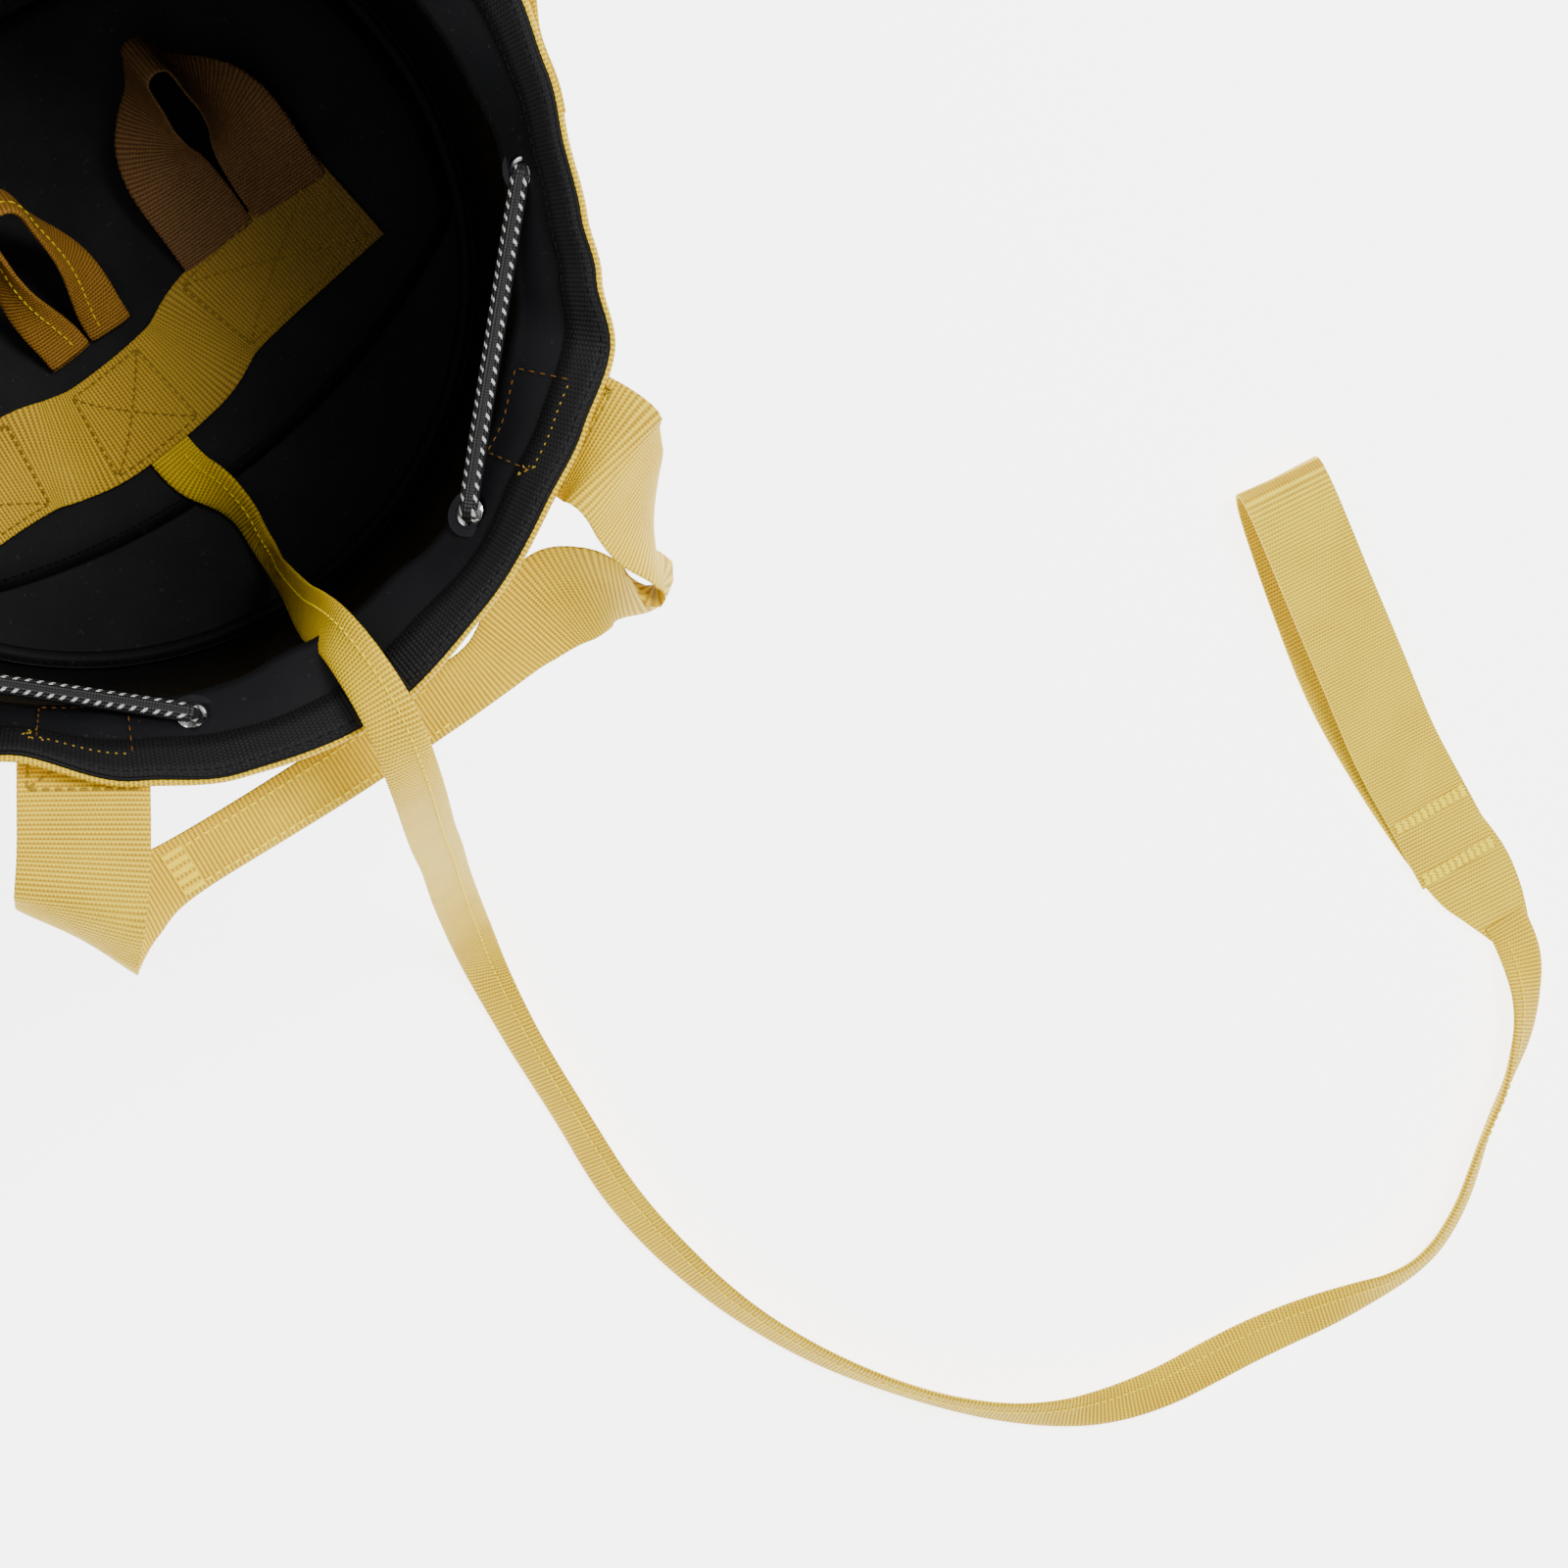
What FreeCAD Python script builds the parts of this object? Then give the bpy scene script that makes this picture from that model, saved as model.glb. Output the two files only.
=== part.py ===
"""Garden tool bag: a round bucket of coated fabric on a stiffened base, with two webbing carry handles,
two side loops, a bungee cord laced through eyelets below the mouth, an anchor band with tool loops sewn
inside on the base, and a long lanyard with a hand loop.

Millimetres, +Z up. The origin is the middle of the base's underside. The front handle is at -Y.
"""
import FreeCAD, Part
import math
import os
import Sketcher

os.makedirs("parts", exist_ok=True)

doc = FreeCAD.newDocument("garden_tool_bag")
sheet = doc.addObject("Spreadsheet::Sheet", "dims")
V = FreeCAD.Vector

DIMENSIONS = [
    # the bag's side, on its inner face from base to rim, and what is sewn along its edges
    ("wall_thickness", 1.0), ("base_radius", 135.0), ("belly_radius", 138.5), ("belly_height", 120.0),
    ("shoulder_radius", 135.5), ("shoulder_height", 240.0), ("neck_radius", 124.5), ("neck_height", 278.0),
    ("flare_length", 31.2), ("flare_angle", 40.0), ("rim_webbing_width", 15.0),
    ("rim_webbing_thickness", 1.6), ("facing_thickness", 0.9), ("seam_tape_width", 12.0),
    ("seam_tape_thickness", 0.8),
    # the stiffened base
    ("base_thickness", 1.0), ("board_thickness", 2.5), ("cover_thickness", 0.8), ("cover_half_width", 87.0),
    ("cover_edge_radius", 247.0), ("cover_radius", 130.0), ("cover_margin", 5.0),
    # eyelets and bungee cord
    ("eyelet_count", 8), ("eyelet_distance", 22.8), ("eyelet_hole_radius", 4.2),
    ("eyelet_barrel_radius", 4.8), ("eyelet_flange_radius", 7.4), ("eyelet_flange_thickness", 0.7),
    ("bungee_radius", 2.9), ("bungee_reach_in", 8.0), ("bungee_reach_out", 10.5),
    ("bungee_wrap_radius", 131.0), ("knot_radius", 8.0), ("knot_stand_off", 5.5), ("eyelet_gap", 0.3),
    # webbing
    ("webbing_width", 38.0), ("webbing_thickness", 1.6), ("grip_thickness", 3.4), ("narrow_width", 32.0),
    ("narrow_thickness", 1.4), ("handle_end_angle", 36.3), ("sewn_length", 30.0), ("sewn_top", 4.5),
    ("side_loop_width", 25.0), ("side_loop_angle", 17.7), ("side_loop_free_angle", 8.7),
    ("side_loop_bulge", 8.0),
    # anchor band and tool loops
    ("band_y", -43.0), ("band_middle_x", -11.0), ("band_length", 204.0), ("loop_spacing", 70.0),
    ("box_length", 58.0), ("wide_loop_length", 82.0), ("wide_loop_lean", 31.0), ("centre_loop_length", 76.0),
    ("centre_loop_lean", 38.0), ("loop_end_radius", 7.0), ("loop_start", 3.0),
    # lanyard
    ("strap_width", 16.0), ("strap_thickness", 2.8),
]
for row, (alias, value) in enumerate(DIMENSIONS, 1):
    sheet.set(f"A{row}", alias)
    sheet.set(f"B{row}", str(value))
    sheet.setAlias(f"B{row}", alias)
doc.recompute()
D = {alias: float(getattr(sheet, alias)) for alias, _ in DIMENSIONS}
parts = []

FRONT = -90.0                       # the front handle's direction, in degrees from +X
TOUCH = 0.1                         # a sewn layer's clearance from the layer below it
COS_FLARE, SIN_FLARE = (f(math.radians(D["flare_angle"])) for f in (math.cos, math.sin))


# ---- small helpers --------------------------------------------------------------------------------

def keep(obj, label):
    """Give a finished sub-part its name and list it for export."""
    obj.Label = label
    parts.append(obj)
    return obj


def feature(label, shape, turn=0.0):
    """A sub-part whose shape is worked out from the sheet's sizes, turned about Z by so many degrees."""
    obj = doc.addObject("Part::Feature", label)
    obj.Shape = shape
    obj.Placement = FreeCAD.Placement(V(0, 0, 0), FreeCAD.Rotation(V(0, 0, 1), turn))
    return keep(obj, label)


def total(*terms):
    """A sum of sheet sizes, as an expression and as a number. A term is a name or a (factor, name) pair."""
    pairs = [(1.0, term) if isinstance(term, str) else term for term in terms]
    return " + ".join(f"{k:.6f} * dims.{n}" for k, n in pairs), sum(k * D[n] for k, n in pairs)


def revolved(label, corners):
    """A PartDesign body: a closed outline of (radius, height) corners, each a total(), turned about Z."""
    body = doc.addObject("PartDesign::Body", label)
    sketch = body.newObject("Sketcher::SketchObject", label + "_outline")
    sketch.AttachmentSupport = (next(f for f in body.Origin.OriginFeatures if f.Role == "XZ_Plane"), [""])
    sketch.MapMode = "FlatFace"
    places = [V(radius[1], height[1], 0) for radius, height in corners]
    for i, place in enumerate(places):
        sketch.addGeometry(Part.LineSegment(place, places[(i + 1) % len(places)]), False)
    for i in range(len(places)):
        sketch.addConstraint(Sketcher.Constraint("Coincident", i, 2, (i + 1) % len(places), 1))
    for i, corner in enumerate(corners):
        for kind, (expression, number) in zip(("DistanceX", "DistanceY"), corner):
            index = sketch.addConstraint(Sketcher.Constraint(kind, -1, 1, i, 1, number))
            sketch.setExpression(f"Constraints[{index}]", expression)
    turn = body.newObject("PartDesign::Revolution", label + "_turn")
    turn.Profile = sketch
    turn.ReferenceAxis = (sketch, ["V_Axis"])
    turn.Angle = 360.0
    body.Tip = turn
    return body


def cylinder(name, radius, height, place_expressions=()):
    """A Part cylinder with its sizes bound to the sheet."""
    obj = doc.addObject("Part::Cylinder", name)
    obj.setExpression("Radius", radius)
    obj.setExpression("Height", height)
    for axis, expression in place_expressions:
        obj.setExpression(f"Placement.Base.{axis}", expression)
    return obj


def around(radius, degrees, height):
    """A point from its distance from the bag's axis, its direction and its height."""
    return V(radius * math.cos(math.radians(degrees)), radius * math.sin(math.radians(degrees)), height)


def flare_point(down, out, degrees):
    """A point on the flared mouth: so far down its slope from the rim and so far outside its inner face."""
    up = D["flare_length"] - down
    radius = D["neck_radius"] + COS_FLARE * up + SIN_FLARE * out
    return around(radius, degrees, D["neck_height"] + SIN_FLARE * up - COS_FLARE * out)


def curve_value(values, where):
    """A Catmull-Rom curve through vectors or numbers, read at a station number such as 2.4."""
    i = min(int(where), len(values) - 2)
    t = where - i
    before, here, there, after = (values[min(max(k, 0), len(values) - 1)] for k in range(i - 1, i + 3))
    return (here * 2 + (there - before) * t + (before * 2 - here * 5 + there * 4 - after) * t**2
            + (here * 3 - before - there * 3 + after) * t**3) * 0.5


def section(middle, along, across, width, thickness):
    """The closed rectangle that a strap has at one place."""
    normal = along.cross(across).normalize()
    across = normal.cross(along).normalize()
    a, n = across * (width / 2), normal * (thickness / 2)
    return Part.makePolygon([middle - a - n, middle + a - n, middle + a + n, middle - a + n, middle - a - n])


def strap(stations, first=0.0, last=None, steps=4):
    """A strap through stations of (place, direction across, width, thickness), or a stretch of them."""
    last = len(stations) - 1 if last is None else last
    places, acrosses, widths, thicknesses = zip(*stations)
    count = max(2, round((last - first) * steps))
    wires = []
    for k in range(count + 1):
        where = first + (last - first) * k / count
        behind, ahead = max(where - 0.05, 0.0), min(where + 0.05, len(stations) - 1)
        along = (curve_value(places, ahead) - curve_value(places, behind)).normalize()
        wires.append(section(curve_value(places, where), along, curve_value(acrosses, where),
                             curve_value(widths, where), curve_value(thicknesses, where)))
    return Part.makeLoft(wires, True, True)


def rounded_route(points, share=0.45):
    """Straight runs joined by tangent arcs: a wire, the arcs' radii and the points where pieces meet."""
    edges, radii, joints, start = [], [], [points[0]], points[0]
    for before, corner, after in zip(points, points[1:], points[2:]):
        arriving, leaving = (corner - before), (after - corner)
        cut = share * min(arriving.Length, leaving.Length)
        arriving.normalize()
        leaving.normalize()
        half_turn = arriving.getAngle(leaving) / 2
        into, out_of = corner - arriving * cut, corner + leaving * cut
        middle = (into + out_of) / 2
        radius = cut / math.tan(half_turn)
        centre = corner + (middle - corner).normalize() * (radius / math.cos(half_turn))
        top = centre + (corner - centre).normalize() * radius
        edges += [Part.LineSegment(start, into).toShape(), Part.Arc(into, top, out_of).toShape()]
        radii.append(radius)
        joints += [into, top, out_of]
        start = out_of
    edges.append(Part.LineSegment(start, points[-1]).toShape())
    return Part.Wire(edges), radii, joints + [points[-1]]


def tube(points, radius):
    """A round cord along a rounded route, checked against its section times its length."""
    wire, radii, _ = rounded_route(points)
    ring = Part.Wire(Part.makeCircle(radius, points[0], points[1] - points[0]))
    solid = wire.makePipeShell([ring], True, False)
    report("cord", solid.Volume, math.pi * radius**2 * wire.Length, wire.Length, radii)
    return solid


def report(name, volume, expected, length, radii):
    """Print how a swept strap or cord compares with its section times its length."""
    print(f"{name}: length {length:.0f} mm, volume {volume:.0f} of {expected:.0f} mm3, "
          f"radii {', '.join(f'{r:.0f}' for r in radii)}")


# ---- side wall and rim ----------------------------------------------------------------------------

FLARE_NORMAL = (SIN_FLARE, -COS_FLARE)
NECK_MITRE = (1.142, -0.348)        # the outward shift, in wall thicknesses, of the corner at the neck


def rim_corner(down, *layers):
    """A corner of the mouth's outline: a distance down the flare, and the layers it stands out by."""
    radius = ["neck_radius", (COS_FLARE, "flare_length")]
    height = ["neck_height", (SIN_FLARE, "flare_length")]
    for factor, name in down:
        radius.append((-COS_FLARE * factor, name))
        height.append((-SIN_FLARE * factor, name))
    for factor, name in layers:
        radius.append((FLARE_NORMAL[0] * factor, name))
        height.append((FLARE_NORMAL[1] * factor, name))
    return total(*radius), total(*height)


def side_wall():
    """One turned wall of coated fabric, with a hole for each eyelet."""
    thick = "wall_thickness"
    inner = [(total("base_radius"), total("base_thickness")),
             (total("belly_radius"), total("belly_height")),
             (total("shoulder_radius"), total("shoulder_height")),
             (total("neck_radius"), total("neck_height")), rim_corner([])]
    outer = [rim_corner([], (1, thick)),
             (total("neck_radius", (NECK_MITRE[0], thick)), total("neck_height", (NECK_MITRE[1], thick))),
             (total("shoulder_radius", (1, thick)), total("shoulder_height")),
             (total("belly_radius", (1, thick)), total("belly_height")),
             (total("base_radius", (1, thick)), total("base_thickness"))]
    body = revolved("wall_fabric", inner + outer)
    punches = []
    for degrees in eyelet_directions():
        punch = doc.addObject("Part::Cylinder", "eyelet_punch")
        punch.setExpression("Radius", "dims.eyelet_barrel_radius + dims.eyelet_gap")
        punch.setExpression("Height", "10 * dims.wall_thickness")
        axis = eyelet_axis(degrees)
        middle = flare_point(D["eyelet_distance"], 0, degrees)
        punch.Placement = FreeCAD.Placement(middle - axis * 5, FreeCAD.Rotation(V(0, 0, 1), axis))
        punches.append(punch)
    tools = doc.addObject("Part::MultiFuse", "eyelet_punches")
    tools.Shapes = punches
    wall = doc.addObject("Part::Cut", "wall_panel")
    wall.Base, wall.Tool = body, tools
    return keep(wall, "wall_panel")


def rim():
    """Yellow webbing round the outside of the mouth and a black tape facing it inside."""
    width, webbing, facing = "rim_webbing_width", "rim_webbing_thickness", "facing_thickness"
    wall = (1, "wall_thickness")
    keep(revolved("rim_webbing", [rim_corner([], wall), rim_corner([(1, width)], wall),
                                  rim_corner([(1, width)], wall, (1, webbing)),
                                  rim_corner([], wall, (1, webbing))]), "rim_webbing")
    keep(revolved("rim_facing_tape", [rim_corner([]), rim_corner([], (-1, facing)),
                                      rim_corner([(1, width)], (-1, facing)),
                                      rim_corner([(1, width)])]), "rim_facing_tape")


# ---- base -----------------------------------------------------------------------------------------

def base():
    """The base panel, its stiffener board under a sewn cover, and the tape along the wall's seam."""
    panel_radius = "dims.base_radius + dims.wall_thickness"
    keep(cylinder("base_panel", panel_radius, "dims.base_thickness"), "base_panel")

    def bowed_panel(name, margin, height):
        """A disc whose front and back are cut to shallow arcs."""
        sides = [cylinder(f"{name}_disc", f"dims.cover_radius - {margin}", height)]
        for sign, side in ((1, "front"), (-1, "back")):
            offset = ("y", f"{sign} * (dims.cover_edge_radius - dims.cover_half_width)")
            sides.append(cylinder(f"{name}_{side}", f"dims.cover_edge_radius - {margin}", height, [offset]))
        for side in sides:
            side.setExpression("Placement.Base.z", "dims.base_thickness")
        panel = doc.addObject("Part::MultiCommon", name)
        panel.Shapes = sides
        return panel

    board = bowed_panel("board_shape", "dims.cover_margin", "dims.board_thickness")
    blank = bowed_panel("cover_blank", "0", "dims.board_thickness + dims.cover_thickness")
    cover = doc.addObject("Part::Cut", "stiffener_cover")
    cover.Base, cover.Tool = blank, board
    keep(cover, "stiffener_cover")
    doc.recompute()
    feature("stiffener_board", board.Shape.copy())

    rise = (D["belly_radius"] - D["base_radius"]) / (D["belly_height"] - D["base_thickness"])
    tape, width, foot = "seam_tape_thickness", "seam_tape_width", (1 / 3, "seam_tape_width")
    keep(revolved("base_seam_tape", [
        (total("base_radius", (-foot[0], foot[1])), total("base_thickness")),
        (total("base_radius"), total("base_thickness")),
        (total("base_radius", (rise, width)), total("base_thickness", width)),
        (total("base_radius", (rise, width), (-1, tape)), total("base_thickness", width)),
        (total("base_radius", (-1, tape)), total("base_thickness", tape)),
        (total("base_radius", (-foot[0], foot[1])), total("base_thickness", tape))]), "base_seam_tape")


# ---- eyelets and bungee cord ----------------------------------------------------------------------

def eyelet_directions():
    step = 360.0 / D["eyelet_count"]
    return [FRONT + step / 2 + step * k for k in range(int(D["eyelet_count"]))]


def eyelet_axis(degrees):
    """The way an eyelet faces: square to the flare, outwards and down."""
    return around(SIN_FLARE, degrees, -COS_FLARE)


def washer(middle, axis, inner, outer, thickness):
    ring = Part.makeCylinder(outer, thickness, middle, axis)
    return ring.cut(Part.makeCylinder(inner, thickness * 3, middle - axis * thickness, axis))


def eyelets():
    """Eight two-part eyelets: a flanged barrel from outside and a washer inside."""
    barrels, washers = [], []
    thick, flange, gap = D["wall_thickness"], D["eyelet_flange_thickness"], D["eyelet_gap"]
    hole, barrel_radius, reach = D["eyelet_hole_radius"], D["eyelet_barrel_radius"], D["eyelet_flange_radius"]
    for degrees in eyelet_directions():
        axis, middle = eyelet_axis(degrees), flare_point(D["eyelet_distance"], 0, degrees)
        outside = washer(middle + axis * (thick + gap), axis, hole, reach, flange)
        length = thick + gap * 2 + flange * 2
        barrel = washer(middle - axis * (gap + flange), axis, hole, barrel_radius, length)
        barrels.append(outside.fuse(barrel).removeSplitter())
        washers.append(washer(middle - axis * (gap + flange), axis, barrel_radius + TOUCH, reach, flange))
    feature("eyelet_barrels", Part.makeCompound(barrels))
    feature("eyelet_washers", Part.makeCompound(washers))


WRAP_TURNS = (12, 22.5, 33)         # where the cord bends round the neck, in degrees past an eyelet
KNOT_TURN = 3.3                     # how far from the knot's middle the cord's ends go into it, in degrees


def bungee():
    """The cord goes in and out through the eyelets all the way round, and its ends meet in a knot behind."""
    directions, knot_direction = eyelet_directions(), FRONT + 180
    inwards, outwards, wrap = -D["bungee_reach_in"], D["bungee_reach_out"], D["bungee_wrap_radius"]
    wrap_height = flare_point(D["eyelet_distance"], outwards, 0).z
    start = directions.index(knot_direction + WRAP_TURNS[1])
    order = directions[start:] + directions[:start]
    knot_radius = wrap + D["knot_stand_off"]
    knot = around(knot_radius, knot_direction, wrap_height)
    points = [around(knot_radius - 2, knot_direction + KNOT_TURN, wrap_height),
              around(wrap, knot_direction + WRAP_TURNS[0], wrap_height)]
    going_in = True
    for number, degrees in enumerate(order):
        reaches = (outwards, inwards) if going_in else (inwards, outwards)
        points += [flare_point(D["eyelet_distance"], reach, degrees) for reach in reaches]
        going_in = not going_in
        if going_in and number < len(order) - 1:
            points += [around(wrap, degrees + turn, wrap_height) for turn in WRAP_TURNS]
    points += [around(wrap, knot_direction - WRAP_TURNS[0], wrap_height),
               around(knot_radius - 2, knot_direction - KNOT_TURN, wrap_height)]
    feature("bungee_cord", tube(points, D["bungee_radius"]))
    ball = doc.addObject("Part::Sphere", "bungee_knot")
    ball.setExpression("Radius", "dims.knot_radius")
    ball.Placement.Base = knot
    keep(ball, "bungee_knot")


# ---- handles --------------------------------------------------------------------------------------

LEG_END, GRIP_END = 5, 10           # the stations where the left leg ends and where the right leg starts


def handle_stations():
    """The front handle's webbing, from its left end on the rim to its right end, as it flops outwards."""
    left, right = FRONT - D["handle_end_angle"], FRONT + D["handle_end_angle"]
    out = D["wall_thickness"] + D["rim_webbing_thickness"] + D["webbing_thickness"] / 2 + TOUCH
    flat, thin = D["webbing_width"], D["webbing_thickness"]
    folded, thick = flat / 2, D["grip_thickness"]

    def tangent(degrees):
        return V(-math.sin(math.radians(degrees)), math.cos(math.radians(degrees)), 0)

    return [
        (flare_point(0, out, left), tangent(left), flat, thin),
        (V(-97, -131, 304), V(0.70, -0.71, 0), flat, thin),
        (V(-107, -144, 305), V(0.55, -0.83, 0), flat, thin),
        (V(-113, -152, 292), V(0.40, -0.90, -0.1), flat, thin),
        (V(-108, -155, 275), V(0.25, -0.92, -0.2), flat * 0.9, thin),
        (V(-96, -156, 265), V(0.12, -0.93, -0.3), flat * 0.72, thin * 1.3),
        (V(-79, -157, 261), V(0.08, -0.95, -0.3), folded, thick),
        (V(-27, -161.5, 258), V(0.07, -0.96, -0.25), folded, thick),
        (V(10, -163, 257.5), V(0.03, -0.97, -0.2), folded, thick),
        (V(28, -163, 258), V(-0.03, -0.97, -0.2), folded, thick),
        (V(43, -160, 260), V(-0.10, -0.96, -0.25), flat * 0.7, thin * 1.3),
        (V(57, -158.5, 263), V(-0.14, -0.90, -0.40), flat * 0.92, thin),
        (V(68, -162, 267.5), V(-0.10, -0.72, -0.68), flat, thin),
        (V(77, -170, 271.5), V(-0.05, -0.40, -0.92), flat, thin),
        (V(83.5, -171, 274), V(0.05, -0.10, -0.99), flat, thin),
        (V(86.5, -163.5, 277), V(0.20, 0, -0.98), flat, thin),
        (V(88.5, -153.5, 282), V(0.55, 0.08, -0.83), flat, thin),
        (V(90.5, -143, 290), V(0.84, 0.25, -0.48), flat, thin),
        (V(92, -131.5, 298), V(0.90, 0.40, -0.2), flat, thin),
        (flare_point(-1, out + 1, right), tangent(right), flat, thin),
    ]


def sewn_end(degrees):
    """The flat end of a handle, sewn under the mouth's slope."""
    out = D["wall_thickness"] + D["rim_webbing_thickness"] + D["webbing_thickness"] / 2 + TOUCH
    low, high = flare_point(D["sewn_length"], out, degrees), flare_point(D["sewn_top"], out, degrees)
    across = V(-math.sin(math.radians(degrees)), math.cos(math.radians(degrees)), 0)
    along = (high - low).normalize()
    size = (D["webbing_width"], D["webbing_thickness"])
    ends = [section(place, along, across, *size) for place in (low, high)]
    return Part.makeLoft(ends, True, True)


def handle(name, turn):
    """One handle in three nodes: the ends sewn to the bag, the legs that bend, and the grip that swings."""
    stations = handle_stations()
    last = len(stations) - 1
    ends = [sewn_end(FRONT - D["handle_end_angle"]), sewn_end(FRONT + D["handle_end_angle"])]
    legs = [strap(stations, 0, LEG_END), strap(stations, GRIP_END, last)]
    feature(f"{name}_handle_sewn_ends", Part.makeCompound(ends), turn)
    feature(f"{name}_handle_legs", Part.makeCompound(legs), turn)
    feature(f"{name}_handle_grip", strap(stations, LEG_END + 0.05, GRIP_END - 0.05), turn)


def side_loop(name, middle):
    """A short strap sewn flat at both ends outside the rim, standing off the bag between them."""
    half, free = D["side_loop_angle"], D["side_loop_free_angle"]
    out = D["wall_thickness"] + D["rim_webbing_thickness"] + D["narrow_thickness"] / 2 + 7 * TOUCH
    down = D["side_loop_width"] / 2
    wires = []
    for k in range(-12, 13):
        angle = half * k / 12
        lift = D["side_loop_bulge"] * math.cos(math.pi / 2 * min(abs(angle) / free, 1)) ** 2
        along = V(-math.sin(math.radians(middle + angle)), math.cos(math.radians(middle + angle)), 0)
        place = flare_point(down, out + lift, middle + angle)
        across = place - flare_point(down + 1, out + lift, middle + angle)
        wires.append(section(place, along, across, D["side_loop_width"], D["narrow_thickness"]))
    feature(name, Part.makeLoft(wires, True, True))


# ---- anchor band and tool loops -------------------------------------------------------------------

COVER_TOP = D["base_thickness"] + D["board_thickness"] + D["cover_thickness"]
BAND_EDGE = D["band_y"] + D["webbing_width"] / 2        # the band's inner edge, where the loops come out
FOLDED = D["narrow_thickness"] * 2


def slab(x0, x1, y0, y1, z0, thickness):
    return Part.makeBox(x1 - x0, y1 - y0, thickness, V(x0, y0, z0))


def tool_loop(name, middle_x, leg_width, thickness, length, lean):
    """A loop of webbing: two flat legs that turn on edge and meet in a tight bend at the top."""
    slope = math.radians(lean)
    up = V(0, math.cos(slope), math.sin(slope))
    square = V(0, -math.sin(slope), math.cos(slope))
    bend = D["loop_end_radius"]
    root = V(middle_x, BAND_EDGE + thickness / 2 + TOUCH, COVER_TOP + thickness / 2 + TOUCH)
    straight = length - bend - thickness / 2
    legs = []
    for k in range(9):
        share = k / 8
        roll = math.pi / 2 * share * share * (3 - 2 * share)
        away = (leg_width / 2 + 3 * TOUCH) * math.cos(roll) + bend * math.sin(roll)
        place = root + up * (D["loop_start"] + (straight - D["loop_start"]) * share)
        legs.append((away, place, roll))
    wires = []
    for away, place, roll in legs:
        across = V(math.cos(roll), 0, 0) + square * math.sin(roll)
        wires.append(section(place - V(away, 0, 0), up, across, leg_width, thickness))
    for k in range(1, 6):
        angle = math.pi * k / 6
        out = V(-math.cos(angle), 0, 0) * bend + up * (math.sin(angle) * bend)
        along = V(math.sin(angle), 0, 0) + up * math.cos(angle)
        wires.append(section(root + up * straight + out, along, square, leg_width, thickness))
    for away, place, roll in reversed(legs):
        across = V(-math.cos(roll), 0, 0) + square * math.sin(roll)
        wires.append(section(place + V(away, 0, 0), up * -1, across, leg_width, thickness))
    feature(name, Part.makeLoft(wires, True, True))


def band_and_loops():
    """The band over the stiffener cover, the loops that come out from under it, and their sewn ends."""
    middle, spacing, narrow = D["band_middle_x"], D["loop_spacing"], D["narrow_thickness"]
    loop_width = D["box_length"] / 2
    inner, outer = BAND_EDGE, D["band_y"] - D["webbing_width"] / 2
    rises = []
    for name, side in (("left", -1), ("right", 1)):
        x = middle + side * spacing
        tool_loop(f"{name}_tool_loop", x, loop_width, narrow, D["wide_loop_length"], D["wide_loop_lean"])
        ends = slab(x - loop_width, x + loop_width, outer + 2, inner, COVER_TOP + TOUCH, narrow)
        feature(f"{name}_tool_loop_sewn_ends", ends)
        rises.append((x, loop_width, narrow))
    strap_width = D["strap_width"]
    tool_loop("centre_tool_loop", middle, strap_width, FOLDED, D["centre_loop_length"], D["centre_loop_lean"])
    ends = slab(middle - strap_width, middle + strap_width, outer, inner, COVER_TOP + TOUCH, FOLDED)
    feature("centre_strap_sewn_part", ends)
    rises.insert(1, (middle, strap_width, FOLDED))

    ramp, low = 2.4, COVER_TOP + TOUCH
    under = [(middle - D["band_length"] / 2, low)]
    for x, half, height in rises:
        under += [(x - half - ramp, low), (x - half - 0.3, low + height + TOUCH),
                  (x + half + 0.3, low + height + TOUCH), (x + half + ramp, low)]
    under.append((middle + D["band_length"] / 2, low))
    over = [(x, z + D["webbing_thickness"]) for x, z in reversed(under)]
    outline = [V(x, outer, z) for x, z in under + over]
    band = Part.Face(Part.makePolygon(outline + outline[:1])).extrude(V(0, D["webbing_width"], 0))
    feature("anchor_band", band)


# ---- lanyard --------------------------------------------------------------------------------------

LANYARD_ROUTE = [
    (-11.5, -62, 5.85), (-11.5, -75, 5.85), (-5.5, -86, 5.85), (-3, -98, 5.85), (-4.5, -108, 7.5),
    (-5, -116.5, 15), (-5.5, -120.5, 28), (-6, -121.5, 50), (-6, -121, 100), (-6, -121.5, 160),
    (-5.5, -121, 215), (-5, -120, 247), (-4, -120.5, 266), (-2.5, -124, 284.5), (-2, -132, 294.5),
    (-2.5, -142, 301), (-3.5, -151, 303), (-5.5, -160, 301.5), (-8, -169, 294), (-10.5, -179, 277),
    (-13, -189, 249), (-15.6, -200.5, 211), (-17.6, -214.5, 161), (-21, -229.5, 108), (-24, -245, 60),
    (-26.8, -260, 25), (-30, -275.5, 7), (-32.5, -291.5, 2.2), (-35, -311, 2.2), (-37, -340, 2.2),
    (-40, -370, 2.2), (-37, -402, 2.2), (-29, -436, 2.2), (-13, -472, 2.2), (12, -509, 2.2), (40, -535, 2.2),
    (72, -550, 2.2), (112, -556, 2.2), (150, -566, 2.2), (178, -572, 2.2), (203, -563, 2.2),
    (225, -546, 2.2), (245, -534, 2.2), (261.5, -521, 2.2), (272, -506, 2.2), (277, -491, 2.2),
]


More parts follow.
